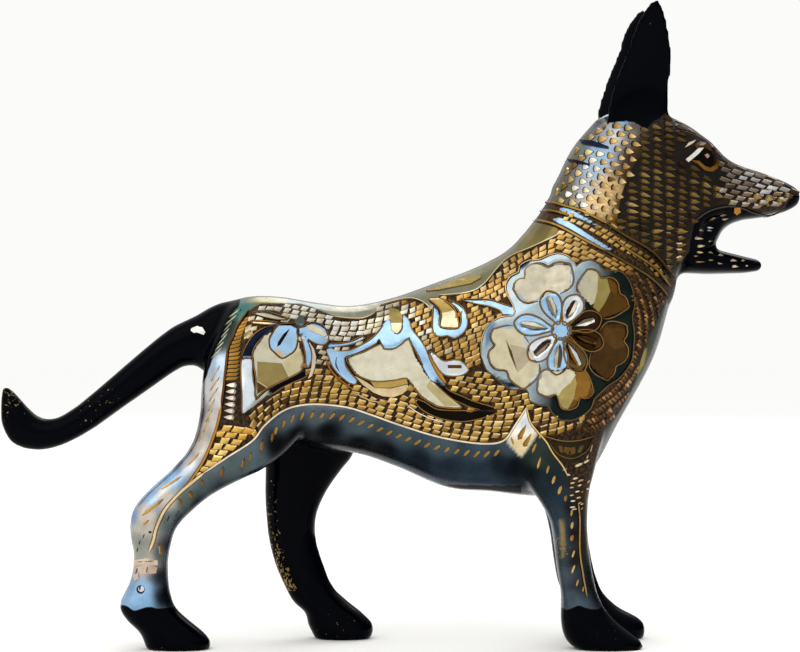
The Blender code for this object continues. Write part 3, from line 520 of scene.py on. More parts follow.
def drawn_hit(skin, x, z, side, spread=0.0):
    """The outer hit of a place drawn for the right flank, which on the left one follows that side's leg."""
    if side > 0 and not -10 <= x <= 25:
        x += float(np.interp(z, *(HIND_SHIFT if x < -10 else FORE_SHIFT)))
    return outer_hit(skin, x, z, side, spread)


def linear(colour):
    """The linear values of an sRGB hex colour."""
    parts = [int(colour[k:k + 2], 16) / 255 for k in (1, 3, 5)]
    return tuple(p / 12.92 if p <= 0.04045 else ((p + 0.055) / 1.055) ** 2.4 for p in parts) + (1.0,)


def dark_or_bright(colour, factor):
    """A linear colour made darker or brighter."""
    return tuple(min(1.0, part * factor) for part in colour[:3]) + (1.0,)


def finished(name, bm, material):
    """A piece of the finished bmesh, drawn in mm, riding on the casting's body."""
    bmesh.ops.scale(bm, vec=(MM, MM, MM), verts=bm.verts)
    mesh = bpy.data.meshes.new(name)
    bm.to_mesh(mesh)
    bm.free()
    mesh.materials.append(material)
    made = bpy.data.objects.new(name, mesh)
    bpy.context.collection.objects.link(made)
    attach(made, "root")
    return made


class Work:
    """A piece in the making: small shapes are added one by one, each with its own tone."""

    def __init__(self):
        self.bm = bmesh.new()
        self.tone = self.bm.loops.layers.float_color.new("tone")
        self.scrap = bpy.data.meshes.new("scrap")

    def start(self):
        """A bmesh for one shape, with its tone layer."""
        part = bmesh.new()
        return part, part.loops.layers.float_color.new("tone")

    def keep(self, part):
        """Adds the finished shape, its faces turned outwards."""
        bmesh.ops.recalc_face_normals(part, faces=part.faces)
        part.to_mesh(self.scrap)
        part.free()
        self.bm.from_mesh(self.scrap)


def paint(faces, layer, colour):
    """Gives faces one tone."""
    for face in faces:
        for loop in face.loops:
            loop[layer] = colour


def mark_corner(kind, x, y, high):
    """Where a corner of a plain stud goes for each kind of chisel mark, within half a unit of the middle."""
    if kind == "drop":
        spots = ((-0.5, 0), (-0.36, 1.1), (0.06, 0.86), (0.5, 0))
        x, wide = spots[0 if x < -0.4 else 1 if x < 0 else 2 if x < 0.4 else 3]
        return (x * 0.74 + 0.06, y * wide * 0.72 - 0.05) if high else (x, y * wide)
    if kind == "nick":
        y *= 1.0 - 0.4 * (2 * abs(x)) ** 2
        return (x * 0.85, y * 0.7) if high else (x, y)
    if kind == "wedge":
        y = y - 0.5 * (x + 0.5) * (y > 0)
    if high:
        return 0.88 * x + 0.2 * y - 0.02, 0.66 * y - 0.12
    return x + 0.22 * y, y


def add_mark(part, layer, place, facing, angle, kind, size, rise, tones, tilt=0.0, grade=(-0.6, 0.6)):
    """One chisel mark: a small closed stud that leans, with tones for its face and its four edges. The face
    takes painted light across it by grade, lighter at one side and darker at the other.
    """
    ahead = Vector((math.cos(angle), 0, math.sin(angle)))
    ahead = (ahead - facing * ahead.dot(facing)).normalized()
    aside = facing.cross(ahead) * (-1 if facing.y > 0 else 1)
    turned = Matrix((ahead, aside, facing)).transposed()
    corners = 4 if kind in ("brick", "wedge") else 6
    made = bmesh.ops.create_cone(
        part, cap_ends=True, cap_tris=False, segments=corners, radius1=0.5, radius2=0.5, depth=1,
    )["verts"]
    turned_by, grown_by = (math.pi / 4, math.sqrt(2)) if corners == 4 else (math.pi / 2, 1)
    spin = Matrix.Rotation(turned_by, 3, "Z") * grown_by
    local = {}
    for vert in made:
        flat = spin @ Vector((vert.co.x, vert.co.y, 0))
        high = vert.co.z > 0
        x, y = mark_corner(kind, flat.x, flat.y, high)
        local[vert] = Vector((x, y, 1.0 if high else 0.0))
        up = rise * (1 - 0.35 * (x + 0.5) + (0.6 + tilt) * y) if high else -STUD_FOOT
        vert.co = place + turned @ Vector((x * size[0], y * size[1], up))
    for face in {face for vert in made for face in vert.link_faces}:
        middle = sum((local[vert] for vert in face.verts), Vector()) / len(face.verts)
        if middle.z > 0.9:
            for loop in face.loops:
                spot = local[loop.vert]
                loop[layer] = dark_or_bright(tones[0], max(0.1, 1.0 + grade[0] * spot.x + grade[1] * spot.y))
            continue
        if abs(middle.y) > abs(middle.x) * 0.9:
            tone = tones[1] if middle.y < 0 else tones[2]
        else:
            tone = tones[3] if middle.x < 0 else tones[4]
        paint([face], layer, tone)


def edged(tone, low=0.4, high=1.35, left=0.6, right=0.08, to_cream=0.55):
    """Tones of a mark's top, low, high, left and right faces, with painted light. By default the upper edge
    catches the light as a painted highlight, and the other edges take painted shade.
    """
    cream = linear(CREAM)
    bright = tuple(a * (1 - to_cream) + b * to_cream for a, b in zip(tone, cream))
    return (
        tone, dark_or_bright(tone, low), dark_or_bright(bright, high), dark_or_bright(tone, left),
        dark_or_bright(tone, right),
    )


def add_ridge(work, skin, path, side, width, rise, tone=OUTLINE, edge=SHADOW, closed=False, spread=0.5):
    """A thin raised line along a path, with a painted highlight on its bright top between darker sides in
    painted shade.
    """
    points = smooth_path(path, RIDGE_STEP, closed)
    if closed:
        points = [*points, points[0]]
    if len(points) < 3:
        return
    part, layer = work.start()
    top = None
    crest = set()
    for k, point in enumerate(points):
        ahead = points[min(k + 1, len(points) - 1)] - points[max(k - 1, 0)]
        if closed and k in (0, len(points) - 1):
            ahead = points[1] - points[-2]
        found = drawn_hit(skin, point.x, point.y, side, spread)
        if found is None:
            continue
        place, facing = found
        ahead = Vector((ahead.x, 0, ahead.y))
        if ahead.length < 1e-6 or abs(facing.y) < 0.12:
            continue
        ahead = (ahead - facing * ahead.dot(facing)).normalized()
        aside = facing.cross(ahead)
        taper = 1.0 if closed else min(1.0, 0.35 + min(k, len(points) - 1 - k) * 0.3)
        ring = [
            place + aside * width * off * taper + facing * up
            for off, up in ((-0.5, -0.1), (-0.25, rise), (0.25, rise), (0.5, -0.1))
        ]
        if top is None:
            cap = top = part.faces.new([part.verts.new(p) for p in ring])
            crest.update(tuple(top.verts)[1:3])
            continue
        grown = bmesh.ops.extrude_face_region(part, geom=[top])["geom"]
        if top is not cap:
            bmesh.ops.delete(part, geom=[top], context="FACES_ONLY")
        top = next(g for g in grown if isinstance(g, bmesh.types.BMFace))
        for vert, corner in zip(top.verts, ring):
            vert.co = corner
        crest.update(tuple(top.verts)[1:3])
    for face in part.faces:
        paint([face], layer, linear(tone if all(v in crest for v in face.verts) else edge))
    if len(part.faces) > 3:
        work.keep(part)
    else:
        part.free()


def open_runs(path, others, margin):
    """The parts of a closed path that lie clear of other outlines."""
    points = smooth_path(path, 0.8, closed=True)
    spots = np.array([tuple(p) for p in points])
    clear = np.ones(len(spots), dtype=bool)
    for other in others:
        clear &= edge_distance(spots, other) < -margin
    if clear.all():
        return [], True
    first = int(np.argmin(clear))
    runs, run = [], []
    for k in range(first, first + len(points) + 1):
        if clear[k % len(points)]:
            run.append(points[k % len(points)])
        elif run:
            runs.append(run)
            run = []
    return [run for run in runs if len(run) > 3], False


def rim_plane(skin, outline, side):
    """The flat that fits the flank round an outline, as y = a x + b z + c."""
    rim = []
    for x, z in smooth_path(outline, 1.0, closed=True):
        found = outer_hit(skin, x, z, side, 0.8)
        if found is not None:
            rim.append(tuple(found[0]))
    rim = np.array(rim)
    across = np.column_stack((rim[:, 0], rim[:, 2], np.ones(len(rim))))
    return np.linalg.lstsq(across, rim[:, 1], rcond=None)[0]


def add_flat(work, outline, plane, side, depth, tone):
    """A flat facet whose face lies at a depth below the plane."""
    part, layer = work.start()
    corners = [(x, plane[0] * x + plane[1] * z + plane[2] - side * depth, z) for x, z in outline]
    face = part.faces.new([part.verts.new(corner) for corner in corners])
    sunk = bmesh.ops.extrude_face_region(part, geom=[face])["geom"]
    lower = [g for g in sunk if isinstance(g, bmesh.types.BMVert)]
    bmesh.ops.translate(part, vec=(0, -side * FLAT_THICK, 0), verts=lower)
    paint(part.faces, layer, linear(tone))
    work.keep(part)


def add_laid_cut(work, skin, outline, side, height, tone, grid=1.6):
    """A thin shallow cut that bends with the flank."""
    part, layer = work.start()
    part.faces.new([part.verts.new((x, 0, z)) for x, z in outline])
    for axis in (0, 2):
        places = [v.co[axis] for v in part.verts]
        line = min(places) + grid / 2
        while line < max(places):
            across = Vector((axis == 0, 0, axis == 2))
            bmesh.ops.bisect_plane(
                part, geom=[*part.verts, *part.edges, *part.faces], plane_co=across * line, plane_no=across
            )
            line += grid
    sunk = bmesh.ops.extrude_face_region(part, geom=list(part.faces))["geom"]
    lower = {g for g in sunk if isinstance(g, bmesh.types.BMVert)}
    for vert in part.verts:
        found = drawn_hit(skin, vert.co.x, vert.co.z, side, 0.3)
        if found is None:
            part.free()
            return
        vert.co = found[0] + found[1] * (height if vert not in lower else -0.4)
    paint(part.faces, layer, linear(tone))
    work.keep(part)


def add_wedge_cut(work, skin, angle, reach, side, left_tone, right_tone):
    """The V cut down the middle of a small petal: two slanted faces that meet in a keel, each with its own
    painted light and shade.
    """
    turn = math.radians(angle)
    ahead = Vector((math.cos(turn), math.sin(turn)))
    aside = Vector((-ahead.y, ahead.x))
    start, end = 3.2, reach - 1.9
    widest = start + (end - start) * 0.55
    half = 0.8
    # the rim of the cut, then the two ends of its keel
    spots = [
        (start, 0), (widest, -half), (end, -half * 0.7), (end + 0.2, 0), (end, half * 0.7), (widest, half),
        (start + 0.6, 0), (end - 0.7, 0),
    ]
    corners = []
    for k, (along, off) in enumerate(spots):
        place = Vector(FLOWER) + ahead * along + aside * off
        found = outer_hit(skin, place.x, place.y, side, 0.9)
        corners.append(found[0] + found[1] * (0.03 if k < 6 else -0.35))
    part, layer = work.start()
    verts = [part.verts.new(corner) for corner in corners]
    for loop, tone in (
        ((0, 1, 6), right_tone), ((1, 2, 7, 6), right_tone), ((2, 3, 7), right_tone),
        ((3, 4, 7), left_tone), ((4, 5, 6, 7), left_tone), ((5, 0, 6), left_tone),
    ):
        paint([part.faces.new([verts[k] for k in loop])], layer, linear(tone))
    sunk = bmesh.ops.extrude_face_region(part, geom=list(part.faces))["geom"]
    low = [g for g in sunk if isinstance(g, bmesh.types.BMVert)]
    bmesh.ops.translate(part, vec=(0, -side * 0.7, 0), verts=low)
    work.keep(part)


def node(tree, kind, settings=None, inputs=None):
    """A new node with its settings. An input is a value, or a socket or a node to link from."""
    made = tree.nodes.new(kind)
    for name, value in (settings or {}).items():
        setattr(made, name, value)
    for name, value in (inputs or {}).items():
        if isinstance(value, bpy.types.Node):
            value = next(output for output in value.outputs if output.enabled)
        if isinstance(value, bpy.types.NodeSocket):
            tree.links.new(value, made.inputs[name])
        else:
            made.inputs[name].default_value = value
    return made


def fresh_material(name):
    """An empty material and its node tree."""
    made = bpy.data.materials.new(name)
    made.use_nodes = True
    made.node_tree.nodes.clear()
    return made, made.node_tree


def cut_metal():
    """Brass and tin as the graver leaves them: bright, with fine chatter marks across each cut."""
    material, tree = fresh_material("bright_cut_brass")
    where = node(tree, "ShaderNodeTexCoord").outputs["Object"]
    # each face's tone, with its painted reflections, highlights and shade
    tone = node(tree, "ShaderNodeAttribute", {"attribute_name": "tone"}).outputs["Color"]
    # brass dulls in soft patches of about 2 mm
    cloud = node(tree, "ShaderNodeTexNoise", inputs={"Vector": where, "Scale": 1 / (2.4 * MM), "Detail": 4.0})
    dull = node(tree, "ShaderNodeMapRange", inputs={
        "Value": cloud, "From Min": 0.3, "From Max": 0.68, "To Min": 0.7, "To Max": 1.0})
    worn = node(tree, "ShaderNodeMix", {"data_type": "RGBA", "blend_type": "MULTIPLY"}, {
        "Factor": 0.8, "A": tone, "B": dull})
    rough = node(tree, "ShaderNodeMapRange", inputs={
        "Value": cloud, "From Min": 0.3, "From Max": 0.7, "To Min": 0.42, "To Max": 0.24})
    # chatter marks, drawn 0.5 mm apart so that they show, where real ones are finer
    chatter = node(tree, "ShaderNodeTexWave", {"bands_direction": "Z"}, {
        "Vector": where, "Scale": 1 / (1.6 * MM), "Distortion": 3.0, "Detail": 2.0, "Detail Scale": 2.0})
    bump = node(tree, "ShaderNodeBump", inputs={
        "Strength": 0.25, "Distance": 0.03 * MM, "Height": chatter.outputs["Fac"]})
    shader = node(tree, "ShaderNodeBsdfPrincipled", inputs={
        "Base Color": worn, "Metallic": 0.92, "Roughness": rough, "Normal": bump})
    node(tree, "ShaderNodeOutputMaterial", inputs={"Surface": shader})
    return material


def casting_finish():
    """The casting's skin: tin plate, dark lac in the cut ground, and brushed black lacquer over the ends."""
    material, tree = fresh_material("tinned_and_lacquered_brass")
    where = node(tree, "ShaderNodeTexCoord").outputs["Object"]
    drawn = {
        name: node(tree, "ShaderNodeAttribute", {"attribute_name": name}).outputs["Fac"]
        for name in ("tin_edge", "paint_edge", "rubbed", "lac_shade_and_tone")
    }
    # the tin's colour, which carries its painted reflections and painted shade
    shade = node(tree, "ShaderNodeAttribute", {"attribute_name": "shade"}).outputs["Color"]
    # clouds of 4 mm in tin and lacquer, and a grain of 0.7 mm in the lac
    cloud = node(tree, "ShaderNodeTexNoise", inputs={"Vector": where, "Scale": 1 / (4 * MM), "Detail": 6.0})
    fine = node(tree, "ShaderNodeTexNoise", inputs={"Vector": where, "Scale": 1 / (0.7 * MM), "Detail": 4.0})

    def wandering_edge(inside, noise, jitter, soft):
        """1 inside a zone, 0 outside, with an edge that wanders a little. Values are in mm."""
        off = node(tree, "ShaderNodeMath", {"operation": "MULTIPLY_ADD"}, {
            0: noise, 1: jitter * 2, 2: -jitter})
        moved = node(tree, "ShaderNodeMath", {"operation": "ADD"}, {0: inside, 1: off})
        return node(tree, "ShaderNodeMapRange", inputs={
            "Value": moved, "From Min": -soft, "From Max": soft, "To Min": 0.0, "To Max": 1.0})

    tinned = wandering_edge(drawn["tin_edge"], fine, 0.05, 0.09)
    lacquered = wandering_edge(drawn["paint_edge"], cloud, 0.9, 0.12)
    # specks of bare brass where the lacquer rubs through
    rub = node(tree, "ShaderNodeMath", {"operation": "ADD"}, {0: fine, 1: drawn["rubbed"]})
    bare = node(tree, "ShaderNodeMapRange", inputs={
        "Value": rub, "From Min": 0.86, "From Max": 0.9, "To Min": 0.0, "To Max": 1.0})
    stain = node(tree, "ShaderNodeMapRange", inputs={
        "Value": cloud, "From Min": 0.3, "From Max": 0.62, "To Min": 0.72, "To Max": 1.0})
    stained = node(tree, "ShaderNodeMix", {"data_type": "RGBA", "blend_type": "MULTIPLY"}, {
        "Factor": 1.0, "A": shade, "B": stain})
    grain = node(tree, "ShaderNodeMapRange", inputs={
        "Value": fine, "From Min": 0.4, "From Max": 0.66, "To Min": 0.0, "To Max": 1.0})
    # the lac's grain, made brighter and darker by the painted light and shade drawn for the casting
    lit = node(tree, "ShaderNodeMath", {"operation": "MULTIPLY"}, {0: grain, 1: drawn["lac_shade_and_tone"]})
    lac = node(tree, "ShaderNodeMix", {"data_type": "RGBA"}, {
        "Factor": lit, "A": linear("#0E0804"), "B": linear("#4A3010")})
    polish = node(tree, "ShaderNodeMapRange", inputs={
        "Value": fine, "From Min": 0.3, "From Max": 0.7, "To Min": 0.34, "To Max": 0.2})
    # hammer-soft unevenness of a hand-filed casting, and orange peel of brushed lacquer
    bump = node(tree, "ShaderNodeBump", inputs={"Strength": 0.5, "Distance": 0.05 * MM, "Height": cloud})
    surface = {"Normal": bump}
    # each value of the lac ground, of the tin over it, of the lacquer over both and of the bare specks
    for socket, kind, ground, *layers in (
        ("Base Color", "RGBA", lac, stained, linear("#010206"), linear("#8A7448")),
        ("Metallic", "FLOAT", 0.3, 1.0, 0.0, 1.0),
        ("Roughness", "FLOAT", 0.5, polish, 0.14, 0.4),
        ("Specular IOR Level", "FLOAT", 0.2, 0.5, 0.03),
    ):
        surface[socket] = ground
        for mask, value in zip((tinned, lacquered, bare), layers):
            surface[socket] = node(tree, "ShaderNodeMix", {"data_type": kind}, {
                "Factor": mask, "A": surface[socket], "B": value})
    shader = node(tree, "ShaderNodeBsdfPrincipled", inputs=surface)
    node(tree, "ShaderNodeOutputMaterial", inputs={"Surface": shader})
    return material


def fine_casting():
    """The CAD casting as an even fine mesh in mm."""
    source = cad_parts["dog_casting"]
    bm = bmesh.new()
    bm.from_mesh(source.data)
    bmesh.ops.remove_doubles(bm, verts=bm.verts, dist=0.001 * MM)
    bmesh.ops.scale(bm, vec=(1 / MM,) * 3, verts=bm.verts)
    mesh = bpy.data.meshes.new("rough_casting")
    bm.to_mesh(mesh)
    bm.free()
    rough = bpy.data.objects.new("rough_casting", mesh)
    bpy.context.collection.objects.link(rough)
    fuse = rough.modifiers.new("Even", "REMESH")
    fuse.mode = "VOXEL"
    fuse.voxel_size = SKIN_GRAIN
    soften = rough.modifiers.new("Soften", "SMOOTH")
    soften.factor = 0.5
    soften.iterations = 6
    bpy.context.view_layer.update()
    made = bpy.data.meshes.new_from_object(rough.evaluated_get(bpy.context.evaluated_depsgraph_get()))
    bpy.data.objects.remove(rough)
    return made


def read_vectors(mesh, what):
    """The vertices' places or normals as an array."""
    flat = np.empty(len(mesh.vertices) * 3, dtype=np.float32)
    mesh.vertices.foreach_get(what, flat)
    return flat.reshape(-1, 3).astype(float)


def shade_of(places):
    """The tin's tone at places in x and z, with its painted reflections and shade, blended from the nearest
    of TIN_SHADES.
    """
    spots = np.array([(x, z) for x, z, _ in TIN_SHADES], dtype=float)
    tones = np.array([linear(tone)[:3] for _, _, tone in TIN_SHADES])
    weights = 1 / (((places[:, None, :] - spots[None, :, :]) ** 2).sum(axis=2) + 1.5) ** 2
    weights /= weights.sum(axis=1, keepdims=True)
    return weights @ tones


def tint(shade, chosen, tone, share):
    """Blends a tone into the shade of the chosen places, by a share that is held between 0 and 1."""
    share = np.clip(share, 0, 1)[:, None]
    shade[chosen] = shade[chosen] * (1 - share) + np.array(linear(tone)[:3]) * share


casting_mesh = fine_casting()
skin_bm = bmesh.new()
skin_bm.from_mesh(casting_mesh)
skin = BVHTree.FromBMesh(skin_bm)
skin_bm.free()

cuts = [*FLAT_CUTS]
for petal, tone, facets in zip(BIG_PETALS, BIG_PETAL_TONES, BIG_PETAL_FACETS):
    moved = [(colour, [(x + FLOWER[0], z + FLOWER[1]) for x, z in rim]) for colour, rim in facets]
    cuts.append((big_petal(*petal), tone, moved))
petal_rims = [small_petal(*petal) for petal in SMALL_PETALS]
planes = {(k, side): rim_plane(skin, cut[0], side) for k, cut in enumerate(cuts) for side in SIDES}

places = read_vectors(casting_mesh, "co")
facings = read_vectors(casting_mesh, "normal")
flat_places = places[:, [0, 2]].copy()
left = places[:, 1] > 0
hind, fore = left & (flat_places[:, 0] < 5), left & (flat_places[:, 0] > 24)
for table, zone in ((HIND_SHIFT, hind), (FORE_SHIFT, fore)):
    flat_places[:, 0] -= np.where(zone, np.interp(flat_places[:, 1], *table), 0)
outward = facings[:, 1] * np.where(left, 1, -1)

# Where tin stands, as a distance in mm that is below zero in the engraved ground, and its tone, which carries
# painted reflections and painted shade.
on_head = edge_distance(flat_places, ENGRAVED_HEAD)
collar_band = edge_distance(flat_places, [*COLLAR_UPPER, *COLLAR_LOWER[::-1]])
engraved = np.maximum.reduce([edge_distance(flat_places, ENGRAVED_BODY), on_head, collar_band + 0.6])
tin = np.maximum(-engraved, edge_distance(flat_places, NECK_TIN))
shade = shade_of(flat_places)
for rim, tone in [(PLATE, "#AEC0C8"), *TINNED, *[(rim, SKY_REFLECTION) for rim in COLLAR_STRIPS]]:
    chosen = near(flat_places, rim)
    inside = edge_distance(flat_places[chosen], rim)
    tin[chosen] = np.maximum(tin[chosen], inside)
    tint(shade, chosen, tone, 1.2 + inside / TONE_EDGE)
# painted shade: the plate round the flower turns dark towards the chest
chosen = np.where(edge_distance(flat_places, PLATE) > -0.3)[0]
off = flat_places[chosen] - FLOWER
tint(shade, chosen, "#18211F", (np.cos(np.arctan2(off[:, 1], off[:, 0]) + math.radians(25)) + 0.15) * 2.2)
# painted reflections, painted shade and wear, blended into the tin's colour
for rim, tone in REFLECTIONS_SHADE_AND_WEAR:
    chosen = near(flat_places, rim)
    tint(shade, chosen, tone, edge_distance(flat_places[chosen], rim) / TONE_EDGE + 0.6)
# the tin of the small petals and of the flower's middle takes its painted reflection
petal_tones = [tones[0] for tones in SMALL_PETAL_TONES]
for rim, tone in zip([*petal_rims, disc(FLOWER, DISC_RADIUS)], [*petal_tones, SKY_REFLECTION]):
    chosen = near(flat_places, rim)
    tint(shade, chosen, tone, edge_distance(flat_places[chosen], rim) > 0)

# Black lacquer: paws, the legs' inner sides, the underside, ears, tail and mouth, again as distances in mm.
side_places = places[:, [0, 2]]
paws = PAW_TOP - places[:, 2] + 0.35 * np.sin(places[:, 0] * 0.9)
legs = np.where(places[:, 2] < LEG_TOP, (-outward - 0.08) * 5, FAR_OUTSIDE)
below = (places[:, 2] < BELLY_TOP) & (np.abs(flat_places[:, 0]) < BELLY_REACH)
underside = np.where(below, (-facings[:, 2] - 0.6) * 6, FAR_OUTSIDE)
ears = np.minimum(edge_distance(side_places, EAR_PAINT), np.abs(places[:, 1]) - EAR_MIDDLE)
tail, mouth = edge_distance(side_places, TAIL_PAINT), edge_distance(side_places, MOUTH_PAINT)
painted = np.maximum.reduce([paws, legs, underside, ears, tail, mouth])
tin = np.where(painted > 0.3, -5, tin)

# The ground is sunk a little below the tin, and hollows make room for the flat cuts and the V cuts.
lowered = places.copy()
sunk = np.where((tin < 0) & (painted < 0), GROUND_DEPTH * np.clip(-tin / 0.3, 0, 1), 0)
lowered -= facings * sunk[:, None]
for k, (outline, _, _) in enumerate(cuts):
    chosen = near(side_places, outline, 0.5)
    chosen = chosen[outward[chosen] > 0.2]
    inside = edge_distance(side_places[chosen], outline)
    for side in SIDES:
        a, b, c = planes[k, side]
        pick = chosen[(inside > 0.15) & (places[chosen, 1] * side > 0)]
        hollow = a * places[pick, 0] + b * places[pick, 2] + c - side * HOLLOW_DEPTH
        lowered[pick, 1] = np.where(side * (lowered[pick, 1] - hollow) > 0, hollow, lowered[pick, 1])
for angle, reach in SMALL_PETALS:
    first, last = (np.array(polar(FLOWER, angle, far)) for far in (4.0, reach - 2.0))
    run = last - first
    off = side_places - first
    share = np.clip(off @ run / (run @ run), 0, 1)
    inside = 0.85 - np.linalg.norm(off - share[:, None] * run, axis=1)
    pick = (inside > 0) & (outward > 0.2) & (places[:, 2] > 50)
    lowered[pick, 1] -= np.where(left[pick], 1, -1) * (0.3 + 0.5 * inside[pick])

rubbed = np.zeros(len(places))
for spot, radius, amount in RUBBED_SPOTS:
    far = np.linalg.norm(places - np.array(spot), axis=1)
    rubbed = np.maximum(rubbed, amount * np.clip(1.4 - far / radius, 0, 1))
# the back edge of the left hind leg is rubbed all the way down
back_edge = left & (places[:, 0] < -22) & (facings[:, 0] < -0.3) & (places[:, 2] > 12) & (places[:, 2] < 58)
rubbed = np.where(back_edge, np.clip(0.45 - 0.0068 * places[:, 2], 0, 1), rubbed)

# How bright the lac's grain is: darker on the head, with painted shade darker towards the chest and painted
# light brighter on the back.
darkness = np.clip(1 - 0.3 * on_head, 0.08, 1) * np.clip(1.2 - (flat_places[:, 0] - 48) / 14, 0.35, 1)
darkness *= 1 + 0.9 * np.clip((flat_places[:, 1] - 72) / 10, 0, 1)
casting_mesh.vertices.foreach_set("co", lowered.astype(np.float32).ravel())
for name, values in (("tin_edge", tin), ("paint_edge", painted), ("rubbed", rubbed), ("lac_shade_and_tone", darkness)):
    layer = casting_mesh.attributes.new(name, "FLOAT", "POINT")
    layer.data.foreach_set("value", np.clip(values, FAR_OUTSIDE, -FAR_OUTSIDE).astype(np.float32))
colours = casting_mesh.attributes.new("shade", "FLOAT_COLOR", "POINT")
colours.data.foreach_set("color", np.column_stack((shade, np.ones(len(shade)))).astype(np.float32).ravel())
body_bm = bmesh.new()
body_bm.from_mesh(casting_mesh)
casting = finished("casting_skin", body_bm, casting_finish())
casting.data.shade_smooth()
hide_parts("dog_casting")

cut_brass = cut_metal()

# The flat cuts with their facets.
flats = Work()
for side in SIDES:
    for k, (outline, tone, facets) in enumerate(cuts):
        for step, (colour, rim) in enumerate([(tone, outline), *facets]):
            add_flat(flats, rim, planes[k, side], side, FLAT_DEPTH - FACET_STEP * step, colour)
    for (angle, reach), (_, left_tone, right_tone) in zip(SMALL_PETALS, SMALL_PETAL_TONES):
        add_wedge_cut(flats, skin, angle, reach, side, left_tone, right_tone)
    for rim, tone in SHALLOW_CUTS:
        add_laid_cut(flats, skin, rim, side, LAID_HEIGHT, tone)
    for step, (rim, tone) in enumerate(EYE_CUTS):
        add_laid_cut(flats, skin, rim, side, LAID_HEIGHT + 0.04 * step, tone, grid=0.9)
finished("flat_cuts", flats.bm, cut_brass)

# Outlines of the flowers and leaves, and the borders.
lines = Work()
BIG_PETAL_RIMS = [outline for outline, _, _ in cuts[len(FLAT_CUTS):]]
OPEN_LEAVES = [[*WAIST_LEAF[9:], *WAIST_LEAF[:8]], WAIST_RIBBON[1:], HIP_DROP[11:0:-1]]
# The other ridges: path, width, height, tone of the top and of the sides. The top's tone is a painted
# highlight and the sides' tone painted shade; where a ridge is split in two, its parts take different painted
# light.
RIDGES = [
    ([*PLATE[45:], *PLATE[:14]], 0.45, 0.1, "#C9A878", SHADOW),
    (PLATE[13:46], 0.45, 0.1, "#6E5838", SHADOW),
    *[(rim, width, 0.16, tone, SHADOW) for rim, width, tone in THIN_RIDGES],
    (BORDER[:7], 1.2, 0.3, "#E6CFA4", "#8A6230"),
    (BORDER[6:], 0.8, 0.3, "#F0E2CC", "#8A6A3C"),
    (FORE_RIDGE[:7], 0.7, 0.28, PALE_GOLD, SHADOW),
    (FORE_RIDGE[8:], 0.7, 0.28, "#B08E54", SHADOW),
    (GOLD_EDGE[:8], 0.9, 0.25, "#5E3C18", "#1E120A"),
    (GOLD_EDGE[7:], 1.0, 0.25, "#B9843A", "#4A2E12"),
    *[(rim, 0.5, 0.12, CREAM, "#6E5A34") for rim in (BACK_EDGE[:7], BACK_EDGE[7:12], BACK_EDGE[12:15])],
    *[(rim[:4], 0.9, 0.3, "#A8843E", "#4A2F10") for rim in (COLLAR_UPPER, COLLAR_LOWER)],
    *[(rim[3:], 1.0, 0.34, "#5E4A28", "#1E160C") for rim in (COLLAR_UPPER, COLLAR_LOWER)],
    *[(rim, 1.0, 0.3, "#8A6C36", "#2E2010") for rim in COLLAR_MIDDLE],
    (MOUTH_PAINT[:7], 0.6, 0.15, "#4A4238", "#1A1410"),
]
for side in SIDES:
    for outline in BIG_PETAL_RIMS:
        for run in open_runs(outline, petal_rims, 0.1)[0]:
            add_ridge(lines, skin, run, side, 0.5, 0.16)
    add_ridge(lines, skin, SHOULDER_CURL, side, 0.55, 0.1, closed=True)
    for rim in OPEN_LEAVES:
        add_ridge(lines, skin, rim, side, 0.5, 0.1)
    for rim in (*petal_rims, disc(FLOWER, DISC_RADIUS)):
        add_ridge(lines, skin, rim, side, 0.5, 0.12, closed=True, spread=0.7)
    for rim, _ in TINNED[1:-1]:
        others = [other for other, *_ in (*TINNED, *FLAT_CUTS) if other is not rim]
        runs, whole = open_runs(rim, [*others, PLATE], 0.35)
        for run in [rim] if whole else runs:
            add_ridge(lines, skin, run, side, 0.42, 0.08, closed=whole)
    for rim, width, rise, tone, edge in RIDGES:
        add_ridge(lines, skin, rim, side, width, rise, tone, edge)
finished("outlines_and_borders", lines.bm, cut_brass)

